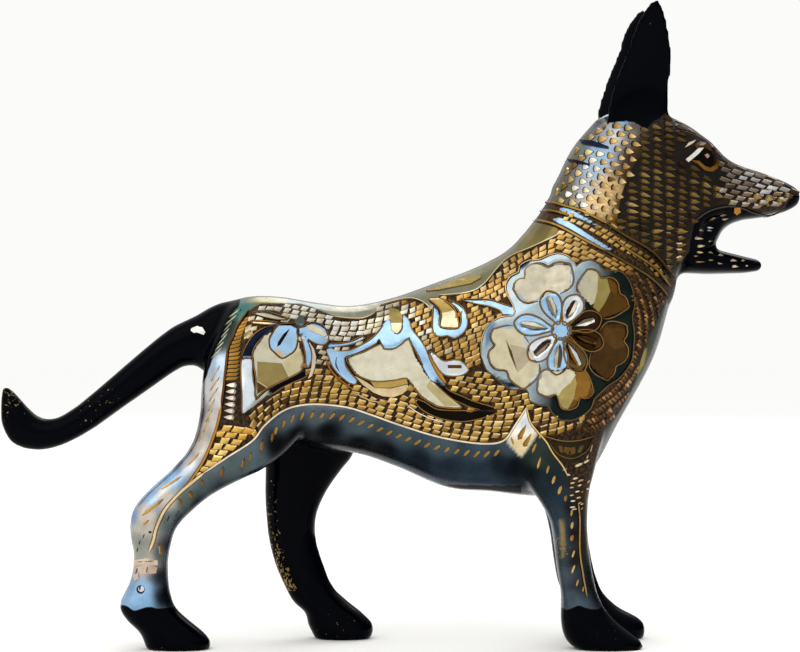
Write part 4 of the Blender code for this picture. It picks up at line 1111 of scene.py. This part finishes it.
# The chipped ground. Chips keep out of the outlines in keep_out, and take their tone from the nearest of the
# places listed below, given as x, z and how bright the painted light is there from 0 to 1.
rng = random.Random(7)
keep_out = [*[row[0] for row in (*TINNED, *SHALLOW_CUTS, *FLAT_CUTS)], PLATE]
PAINTED_LIGHT_LEVELS = [
    (-40, 76, 0.55), (-42, 58, 0.72), (-44, 48, 0.8), (-30, 86, 0.95), (-15, 79, 0.95), (-22, 64, 0.48),
    (-35.6, 59, 0.28), (-30.8, 61.5, 0.32), (-27, 63.5, 0.4), (-10, 60, 0.56), (8, 56, 0.6), (4, 84, 0.8),
    (18, 80, 0.8), (22, 72, 0.6), (16, 65, 0.5), (25, 90, 0.88), (38, 101, 0.9), (26, 62, 0.5),
    (30, 57, 0.52), (42, 55, 0.42), (50, 97, 0.75), (56, 95, 0.45), (60, 90, 0.42), (61, 78, 0.42),
    (58, 68, 0.46), (50, 58, 0.5), (44, 105, 0.9), (52, 101, 0.8), (60, 96, 0.3), (65, 91, 0.25),
    (38.4, 115, 0.12), (40, 120, 0.12), (43, 124, 0.2), (47, 128, 0.4), (45.5, 113.5, 0.98),
    (46, 117, 0.98), (48, 121, 0.8), (51, 113, 0.5), (52.5, 107, 0.5), (51, 117.5, 0.55), (52, 121, 0.5),
    (55, 127, 0.5), (56.5, 108, 0.66), (57, 116, 0.6), (58, 124, 0.55), (62, 110, 0.5), (62, 104, 0.5),
    (66, 100, 0.5), (68, 104, 0.45), (72, 108, 0.34), (64, 122, 0.3), (70, 116, 0.3), (66, 128, 0.4),
    (72, 126, 0.45), (80.5, 119, 0.4), (82, 112, 0.3), (86, 117.6, 0.45), (84, 115, 0.9), (80, 115.4, 0.8),
    (88, 114.6, 1), (92, 113.8, 1), (95, 112.6, 0.7), (88, 110.6, 0.45), (92, 116, 0.4), (86, 112.4, 0.4),
    (97, 112, 0.4),
]
# Tones of the marks from dark to bright, for each part of the dog; the painted light of each chip picks its
# tone among them.
BELLY_TONES = ("#241408", "#6B4A1C", "#AE8538", "#CFA858", "#E6CE98")
UPPER_TONES = ("#3E2C1A", "#7A6240", "#B09C74", "#CFC4A6", "#F0EADA")
SHOULDER_TONES = ("#2E1A0A", "#7A5424", "#B3863E", "#C99E52", "#DDC088")
THIGH_TONES = ("#3A200C", "#85581E", "#CC9638", "#E8B858", "#F4CF88")
RING_TONES = ("#140B05", "#3E2812", "#7A5428", "#B48650", "#E0BC90")
NECK_TONES = ("#2A1A0C", "#7A5626", "#C29E5E", "#E0C894", "#ECEAE8")
HEAD_TONES = ("#120A03", "#33240F", "#604A20", "#967840", "#D6C090")
MUZZLE_TONES = ("#120C08", "#3A2A1A", "#75604A", "#B5AEA6", "#EEEEF2")


def painted_light_tone(x, z, spread, tones):
    """Tone of a chip, with painted light: bright on the back and neck, middling on the belly, painted shade
    towards the chest.
    """
    total = weight = 0.0
    for gx, gz, level in PAINTED_LIGHT_LEVELS:
        w = 1 / ((gx - x) ** 2 + (gz - z) ** 2 + 6) ** 1.5
        total += w * level
        weight += w
    level = min(0.999, max(0.0, total / weight + rng.gauss(0, spread))) * (len(tones) - 1)
    low, share = int(level), level - int(level)
    return tuple(a * (1 - share) + b * share for a, b in zip(linear(tones[low]), linear(tones[low + 1])))


def allowed(points, zone, margin):
    """Which points lie in the zone and clear of every kept-out outline."""
    spots = np.array([tuple(p) for p in points])
    good = edge_distance(spots, zone) > margin
    for rim in keep_out:
        pick = near(spots, rim, 1.0)
        if len(pick):
            good[pick] &= edge_distance(spots[pick], rim) < -margin
    return good


def chip_rows(work, zone, guide, pitch, step, count, size, tones, kind="brick", rise=0.26, turn=None,
              margin=0.3, sunk=GROUND_DEPTH, spread=0.1, jitter=0.1, front=None, grade=(-0.6, 0.8), **edges):
    """Rows of chisel marks beside a guide line, like courses of bricks, on both flanks.

    The tones of the front set take over towards the shoulder.
    """
    line = smooth_path(guide, 0.6)
    for row in range(count):
        course = even_path(beside(line, (row + 0.5) * pitch), step)
        if row % 2:
            course = [(point + ahead * step / 2, ahead) for point, ahead in course]
        if not course:
            continue
        good = allowed([point for point, _ in course], zone, margin)
        picked = [pair for pair, fine in zip(course, good) if fine]
        for side in SIDES:
            part, layer = work.start()
            for point, ahead in picked:
                x = point.x + rng.uniform(-jitter, jitter)
                z = point.y + rng.uniform(-0.06, 0.06)
                tone = painted_light_tone(x, z, spread, front if front and rng.random() < (x + 2) / 14 else tones)
                found = drawn_hit(skin, x, z, side)
                if found is None or abs(found[1].y) < STEEPEST:
                    continue
                place, facing = found
                angle = math.atan2(ahead.y, ahead.x) if turn is None else math.radians(np.interp(z, *turn))
                stretch = min(1.5, 1 / abs(facing.y))
                dims = (size[0] * rng.uniform(0.76, 1.1), size[1] * stretch * rng.uniform(0.86, 1.06))
                angle += rng.uniform(-0.13, 0.13)
                height = rise * rng.uniform(0.75, 1.2)
                add_mark(part, layer, place - facing * sunk, facing, angle, kind, dims, height,
                         edged(tone, **edges), rng.uniform(-0.5, 0.5), grade)
            if part.faces:
                work.keep(part)
            else:
                part.free()


def lay_singles(work, marks, kind, rise, **edges):
    """Single marks on both flanks, each given by x, z, angle, length, width and tone."""
    for side in SIDES:
        part, layer = work.start()
        for x, z, angle, length, width, tone in marks:
            place, facing = drawn_hit(skin, x, z, side)
            add_mark(part, layer, place, facing, math.radians(angle), kind, (length, width), rise,
                     edged(linear(tone), **edges))
        work.keep(part)


BACK_LINE = [
    (-44.5, 82.8), (-40, 86.3), (-31.3, 86.8), (-20.5, 85.1), (-12, 84.4), (-2, 86.4), (8.8, 90.2),
    (18.8, 94), (25.5, 98), (31.5, 101.8), (37.5, 103.4), (43.5, 101.4), (50, 98.2), (57.3, 93.7),
    (64, 88.5),
]
UPPER = [(min(max(x, -37.8), 57.5), max(z, ROW_SPLIT)) for x, z in ENGRAVED_BODY]
LOWER = [(min(max(x, -36.6), 48.0), min(max(z, 0), ROW_SPLIT)) for x, z in ENGRAVED_BODY]
THIGH = [
    (-44.3, 56.3), (-45.5, 52), (-46.9, 48.5), (-48.1, 46), (-49.7, 43.5), (-52.4, 39.9), (-55.2, 37),
    (-47.8, 43.3), (-41.8, 47.3), (-36.4, 51), (-36.4, 56.3),
]
RING = [(57.5, 93), *CHEST_EDGE[::-1][:9], (50.5, 55), (44, 52.5), (48, 60), (56, 70)]
RUMP_LINE = [(-38, 81.5), (-39.7, 77.6), (-40.5, 74.2), (-40.8, 70), (-41.2, 65.8)]
WEDGE_LINE = [(-41.2, 65.6), (-41.5, 61), (-41.8, 56.8)]
chips = Work()
chip_rows(chips, UPPER, BACK_LINE, -1.25, 2.1, 26, (1.95, 1.36), UPPER_TONES, jitter=0.15,
          front=SHOULDER_TONES)
chip_rows(chips, LOWER, [*BORDER[7:17], (26, 50.6), (34, 52), (46, 55)], 1.45, 2.4, 20,
          (2, 1.55), BELLY_TONES, jitter=0.2, to_cream=0.4)
chip_rows(chips, THIGH, [(-60, 57.2), (-30, 53.6)], -1.5, 2.75, 14, (2.6, 1.62), THIGH_TONES, jitter=0.2,
          to_cream=0.35)
arc = [polar(FLOWER, angle, 19) for angle in range(-110, 61, 5)]
chip_rows(chips, RING, arc, -1.75, 1, 6, (2, 0.85), RING_TONES, kind="wedge", turn=([50, 90], [-30, -35]),
          margin=0.1, spread=0.14)
for side in SIDES:
    part, layer = chips.start()
    for guide, step, size, kind, tone in (
        (RUMP_LINE, 1, (3.1, 1), "brick", "#B58638"), (WEDGE_LINE, 1.57, (2.9, 1.5), "drop", "#E4DACC"),
    ):
        for k, (point, _) in enumerate(even_path(smooth_path(guide, 0.5), step)):
            found = outer_hit(skin, point.x, point.y, side)
            spun = math.radians(max(0, 16 - 1.2 * k) if kind == "brick" else 180 + rng.uniform(-4, 4))
            add_mark(part, layer, found[0] - found[1] * GROUND_DEPTH, found[1], spun, kind, size, 0.26,
                     edged(dark_or_bright(linear(tone), rng.uniform(0.8, 1.1))), rng.uniform(-0.3, 0.3))
    chips.keep(part)
finished("chipped_ground", chips.bm, cut_brass)

# Drops of the neck and cheek, the long nicks of the muzzle and the short ones of the lower jaw.
hair = Work()
NECK_ZONE = [
    *NECK_TIN[:6], (58.4, 129.2), (58.9, 124), (57.2, 118), (55.6, 113), (53.6, 105), (52, 103.2),
    (42.6, 108.6),
]
HEAD_ZONE = [
    (53, 102.4), *COLLAR_UPPER[3:], (69.5, 95.5), (71, 99.5), (71.8, 103), (75.8, 107.8), (78.4, 109.4),
    (79, 113), (77, 116.4), (73, 118.4), (69, 120.4), (69, 124.2), (70.6, 126.2), (75, 126.2),
    (71, 131.6), (65.6, 132), (62.3, 129), (60.7, 127.4), (59.6, 128.6), (59, 121), (56.2, 113),
]
keep_out[:] = [rim for rim, _ in EYE_CUTS[-2:]]
MUZZLE_ZONE = [
    (79.4, 122.4), *[(x, z - 0.4) for x, z in MUZZLE_TOP], (96.6, 110.6), (92, 108.6), (87.5, 108.4),
    (84, 109.4), (80, 109.4), (79.2, 113), (78.8, 118),
]
chip_rows(hair, NECK_ZONE, [(33, 136), (56, 131), (84, 126)], -1.9, 2.7, 24, (2.85, 1.9),
          NECK_TONES, kind="drop", margin=0.1, sunk=0, grade=(1.7, 0.3), low=0.25, left=0.06, right=0.6)
chip_rows(hair, HEAD_ZONE, [(83, 92), (83, 132)], 3.05, 1.62, 10, (3.5, 1.5), HEAD_TONES,
          kind="drop", turn=([97, 102, 106, 116], [16, 4, -5, -14]), margin=0.1, spread=0.12,
          grade=(0.5, 1.3), low=0.3, high=2, left=0.2, to_cream=0.4)
chip_rows(hair, MUZZLE_ZONE, [(78, 122.9), (101, 119.6)], -1.3, 3.1, 12, (2.75, 1.22), MUZZLE_TONES,
          margin=-0.1, spread=0.12)
# Marks under the muzzle and on the lower jaw: x, z, angle, length, width and tone.
JAW_MARKS = [
    (88.6, 111.2, -8, 2.4, 1.5, "#A58546"), (91.5, 110.8, -10, 2.4, 1.5, "#B08E50"),
    (94.4, 110.4, -10, 2, 1.5, "#8C6C38"), (96.2, 111.6, -20, 1.4, 1.2, "#A58546"),
    (89.5, 109.5, -6, 1.8, 1.2, "#7A5C2C"), (91.3, 109.3, -6, 1.6, 1.1, "#7A5C2C"),
    (74.3, 102.9, -15, 2.7, 0.7, "#C9B088"), (73.8, 100.9, -15, 3.2, 0.8, "#DDC8A4"),
    (76.8, 100.3, -4, 1.4, 0.6, "#C9B088"), (74.4, 99.1, -4, 2.5, 0.9, "#D8C4A0"),
    (74.2, 97.5, -6, 1.9, 0.7, "#C4A878"), (76.9, 97.4, -2, 1.6, 0.6, "#A98C5C"),
    (73.1, 96.6, 4, 1.4, 0.5, "#A08050"), (74.3, 95.2, 2, 2.7, 0.5, "#A07E4C"),
    (76.9, 95.6, 0, 1.6, 0.5, "#A08050"), (79.5, 96.8, -3, 1.7, 0.8, "#C4AC84"),
    (79.2, 94.8, -6, 1.6, 0.5, "#A98C70"), (82.7, 95.5, 0, 2, 0.8, "#D8C2A0"),
    (85.1, 95.5, 8, 1.1, 0.6, "#C4AC84"), (83.1, 94.1, -3, 2.1, 0.8, "#D0B08C"),
    (86, 94.3, 6, 0.8, 0.6, "#C4AC84"), (80, 106.7, -2, 2.3, 0.7, "#A08458"),
    (80.5, 105.8, 3, 2, 0.7, "#C0A478"), (77.5, 105.8, 2, 3, 0.9, "#7A5A34"),
    (76.6, 103.6, -6, 2.2, 0.6, "#A6A4A8"), (76.4, 102.9, -6, 1.8, 0.5, "#8C8890"),
]
lay_singles(hair, JAW_MARKS, "drop", 0.24, low=0.6)
COLLAR_CHIPS = [(40.4, 107.4), (46, 104.6), (54, 100.6), (60, 97), (66.4, 91.6), (66, 89.8), (58.6, 95.4),
                (53.4, 98.4), (46, 102.6), (41, 105.6)]
keep_out.extend(COLLAR_STRIPS)
chip_rows(hair, COLLAR_CHIPS, COLLAR_UPPER, -1.2, 1.75, 4, (1.5, 1.2), BELLY_TONES, margin=-0.2, sunk=0.05)
finished("neck_and_muzzle_marks", hair.bm, cut_brass)

# Gold nicks below the border and down the legs, in rows: guide, distance beside it, step, angle by x, length
# and width, kind and tone.
nicks = Work()
NICK_LINES = [
    (BORDER[9:18], -2.7, 2.45, ([-30, -20, -10, 8, 20, 28], [78, 60, 40, 38, 55, 62]), (2.8, 1.2), "nick",
     "#A27C3C"),
    ([(-45.2, 69), (-45.6, 63), (-47.2, 55.5), (-49.6, 50.5)], 0, 2.6, ([0, 1], [57, 57]), (4.4, 0.6),
     "nick", "#C8A978"),
    ([(-40.4, 83.2), (-42.4, 78.8), (-45.4, 71.6)], 0, 1.75, ([-46, -41], [50, 36]), (4.2, 0.42), "nick",
     "#B4B496"),
    ([(29.2, 54.6), (31.7, 50.2)], 0, 2.5, ([0, 1], [63, 63]), (4.4, 1.5), "drop", "#A87C38"),
]
# Single cuts: x, z, angle, length, width and tone.
SINGLE_NICKS = [
    (32.8, 49.6, 70, 3.4, 0.9, "#B58A44"), (34, 45.9, 72, 3.7, 0.9, "#C29A50"),
    (36.1, 44.3, 74, 2.6, 0.9, "#B58A44"), (37.5, 41.8, 72, 2.6, 1.1, "#C29A50"),
    (39, 39.3, 70, 2.8, 1.2, "#C29A50"), (40.4, 37.3, 78, 2, 1.1, "#8A6434"),
    (41.9, 33.8, 80, 2.2, 0.8, "#C29A50"), (42, 30.7, 80, 2.2, 1, "#D0AC6C"),
    (42, 27.6, 76, 2, 1.2, "#A8763C"), (40.2, 44.3, 20, 1.3, 0.6, "#C9B48A"),
    (41.1, 43, -20, 1.2, 0.6, "#E0D2B0"), (42.8, 42.1, 10, 1.6, 0.7, "#E4DCC8"),
    (43.9, 41.5, 20, 1.3, 0.6, "#C9B48A"), (42.1, 41, 10, 1.5, 0.6, "#D8C8A0"),
    (43.9, 40.4, 16, 1.3, 0.6, "#E4DCC8"), (41.9, 39.9, 5, 1.3, 0.6, "#C9B48A"),
    (43.3, 38.9, 8, 1.6, 0.6, "#E4DCC8"), (44.5, 38.8, 30, 1, 0.5, "#A8905C"),
    (41.9, 38, 5, 1.3, 0.6, "#C9B48A"), (42.2, 36.6, 5, 1.6, 0.6, "#E4DCC8"),
    (43.9, 36.1, 20, 1.2, 0.5, "#C0B090"), (42.1, 35.1, 5, 1.7, 0.6, "#E4DCC8"),
    (44.4, 34.7, 20, 1.1, 0.5, "#A8905C"), (43.7, 45.4, 22, 2.6, 1, "#D8C8A0"),
    (45.8, 47.3, 60, 1.2, 0.6, "#C9B48A"), (27.4, 51.2, 105, 2.4, 0.8, "#B58A44"),
    (-62.1, 21.8, 4, 4.8, 0.35, "#6A4A34"), (-61.8, 19.8, 80, 1.9, 0.45, "#6A4A34"),
    (-59.6, 20, 62, 1.8, 0.45, "#6A4A34"), (-64.4, 19.4, 62, 2, 0.45, "#6A4A34"),
    (42.3, 23.7, 72, 2.4, 0.8, "#D0AC6C"), (42.3, 20, 70, 2.8, 0.8, "#D0AC6C"),
    (43.3, 16.7, 72, 2.2, 0.7, "#C29A50"), (44.7, 15.1, 80, 1.7, 0.6, "#C29A50"),
    (45.6, 46.2, 20, 2.2, 0.8, "#D8C8A0"), (45.9, 39.4, -10, 1.6, 0.7, "#D8C49C"),
    (44.2, 41.6, 8, 1.8, 0.6, "#C0A878"), (46.2, 41.2, 12, 1.6, 0.6, "#A8905C"),
    (43.6, 37.4, 10, 1.6, 0.6, "#D8CDB8"), (44.4, 35.8, 6, 1.4, 0.5, "#C0B090"),
    (42.6, 34.6, 4, 1.6, 0.5, "#D8CDB8"), (46.8, 49.4, 66, 2.6, 0.5, "#C9B48A"),
    (-55.7, 41.1, 31, 6.6, 1, "#C9974A"), (-60.3, 35.1, 37, 7, 1.1, "#CFA050"),
    (-50.6, 46.6, 45, 5.4, 0.9, "#C9974A"), (-62, 31.3, 42, 2.2, 0.8, "#C58F42"),
    (-43.3, 43.6, 82, 3.3, 1.2, "#7E5220"), (-48.1, 41, 95, 1.9, 1.1, "#7E5220"),
    (-51, 38.1, 100, 2.3, 1.3, "#86561E"), (-53.7, 36.6, 105, 1.8, 1.2, "#86561E"),
    (-38.2, 45.6, 80, 3.4, 1.1, "#7E5220"), (-36.5, 47.3, 80, 3, 0.8, "#8F6426"),
    (-33.6, 50, 84, 3.6, 1.2, "#86561E"), (-31.2, 52.2, 84, 3, 0.9, "#7E5220"),
    (-56.6, 32.3, 70, 2, 0.5, "#24292A"), (-55.4, 31.2, 66, 2, 0.5, "#24292A"),
    (-54.4, 33.5, 60, 2, 0.5, "#24292A"), (-58.5, 24.6, 100, 4.2, 1.1, "#8A6228"),
    (-63.6, 26.4, 68, 1.4, 0.4, "#22262A"), (-62.6, 28, 68, 1.4, 0.4, "#22262A"),
    (-64.2, 24.6, 68, 1.2, 0.4, "#22262A"), (-61, 29, 0, 0.9, 0.9, "#0C0A08"),
]
HOCK_CUTS = [
    ([(-65.2, 22), (-62, 22.6), (-59.2, 22), (-59.2, 20.8), (-62, 21.4), (-65, 20.6)], "#D9C4B0"),
    ([(-64.2, 20.4), (-61.8, 20.9), (-61.9, 18.9), (-63.6, 18.6)], "#D8C0AC"),
    ([(-61.4, 20.7), (-59.3, 20.4), (-59.6, 18.9), (-61.3, 18.8)], "#C9B4A0"),
    ([(-65.4, 18.4), (-64, 18.9), (-63.8, 17.6), (-64.9, 16.9)], "#D8C8B8"),
    # a knob drawn as two flat discs: painted shade round it and a painted highlight on it
    (disc((-63.3, 15), 1.05, 12), "#2A3038"),
    (disc((-63.15, 15.15), 0.75, 12), "#E0E2EA"),
]
for side in SIDES:
    part, layer = nicks.start()
    for guide, distance, step, angle, size, kind, tone in NICK_LINES:
        for point, _ in even_path(beside(smooth_path(guide, 0.6), distance), step):
            found = drawn_hit(skin, point.x, point.y, side)
            if found is None or abs(found[1].y) < STEEPEST:
                continue
            spun = math.radians(np.interp(point.x, *angle)) + rng.uniform(-0.1, 0.1)
            # a nick's low edge takes the painted highlight here, and its high edge the painted shade
            add_mark(part, layer, *found, spun, kind, (size[0] * rng.uniform(0.85, 1.1), size[1]), 0.16,
                     edged(linear(tone), low=1.3, high=0.3), rng.uniform(-0.4, 0.4), (0.5, -1))
    nicks.keep(part)
    for rim, tone in HOCK_CUTS:
        add_laid_cut(nicks, skin, rim, side, 0.08, tone)
lay_singles(nicks, SINGLE_NICKS, "nick", 0.12)
finished("border_nicks", nicks.bm, cut_brass)

# The camera stands level with the middle of the dog. Distances are in metres.
CAMERA_LENS = 117
CAMERA_SENSOR = 36
CAMERA_DISTANCE = 0.65
CAMERA_HEIGHT = 0.0793
camera_data = bpy.data.cameras.new("camera")
camera_data.lens = CAMERA_LENS
camera_data.sensor_width = CAMERA_SENSOR
camera = bpy.data.objects.new("camera", camera_data)
camera.location = (0, -CAMERA_DISTANCE, CAMERA_HEIGHT)
camera.rotation_euler = (math.radians(90), 0, 0)
bpy.context.collection.objects.link(camera)
bpy.context.scene.camera = camera
bpy.context.scene.view_settings.view_transform = "Standard"


def soft_light(name, place, aim, size, power, colour):
    """A square studio light that points at a place."""
    data = bpy.data.lights.new(name, "AREA")
    data.size = size
    data.energy = power
    data.color = linear(colour)[:3]
    made = bpy.data.objects.new(name, data)
    made.location = place
    made.rotation_euler = (Vector(aim) - Vector(place)).to_track_quat("-Z", "Y").to_euler()
    bpy.context.collection.objects.link(made)
    return made


soft_light("key", (-0.6, -0.9, 1.1), (0, 0, 0.08), 1.3, 5, "#FFF7EA")
soft_light("back", (0.2, 0.9, 0.9), (0, 0, 0.08), 0.8, 4, "#FFFFFF")

# The studio round the dog: pale above and to the left, dim below and to the right.
world = bpy.data.worlds.new("studio")
bpy.context.scene.world = world
world.use_nodes = True
tree = world.node_tree
tree.nodes.clear()
way = node(tree, "ShaderNodeTexCoord").outputs["Generated"]
slope = node(tree, "ShaderNodeVectorMath", {"operation": "DOT_PRODUCT"}, {0: way, 1: (-0.62, -0.35, 0.7)})
level = node(tree, "ShaderNodeMapRange", {"interpolation_type": "SMOOTHSTEP"}, {
    "Value": slope.outputs["Value"], "From Min": -0.6, "From Max": 0.35, "To Min": 0.03, "To Max": 1.0})
studio = node(tree, "ShaderNodeMix", {"data_type": "RGBA"}, {
    "Factor": level, "A": linear("#1E2226"), "B": linear("#F5F6F7")})
glossy = node(tree, "ShaderNodeLightPath").outputs["Is Glossy Ray"]
seen = node(tree, "ShaderNodeMix", {"data_type": "RGBA"}, {
    "Factor": glossy, "A": linear("#FBFBFA"), "B": studio})
glow = node(tree, "ShaderNodeBackground", inputs={"Color": seen, "Strength": 1.0})
node(tree, "ShaderNodeOutputWorld", inputs={"Surface": glow})

floor_bm = bmesh.new()
bmesh.ops.create_circle(floor_bm, cap_ends=True, segments=64, radius=4)
floor_mesh = bpy.data.meshes.new("floor")
floor_bm.to_mesh(floor_mesh)
floor_bm.free()
pale, pale_tree = fresh_material("pale_paper")
paper = node(pale_tree, "ShaderNodeBsdfPrincipled", inputs={
    "Base Color": linear("#FEFEFD"), "Roughness": 1.0, "Specular IOR Level": 0.0})
node(pale_tree, "ShaderNodeOutputMaterial", inputs={"Surface": paper})
floor_mesh.materials.append(pale)
floor = bpy.data.objects.new("floor", floor_mesh)
bpy.context.collection.objects.link(floor)
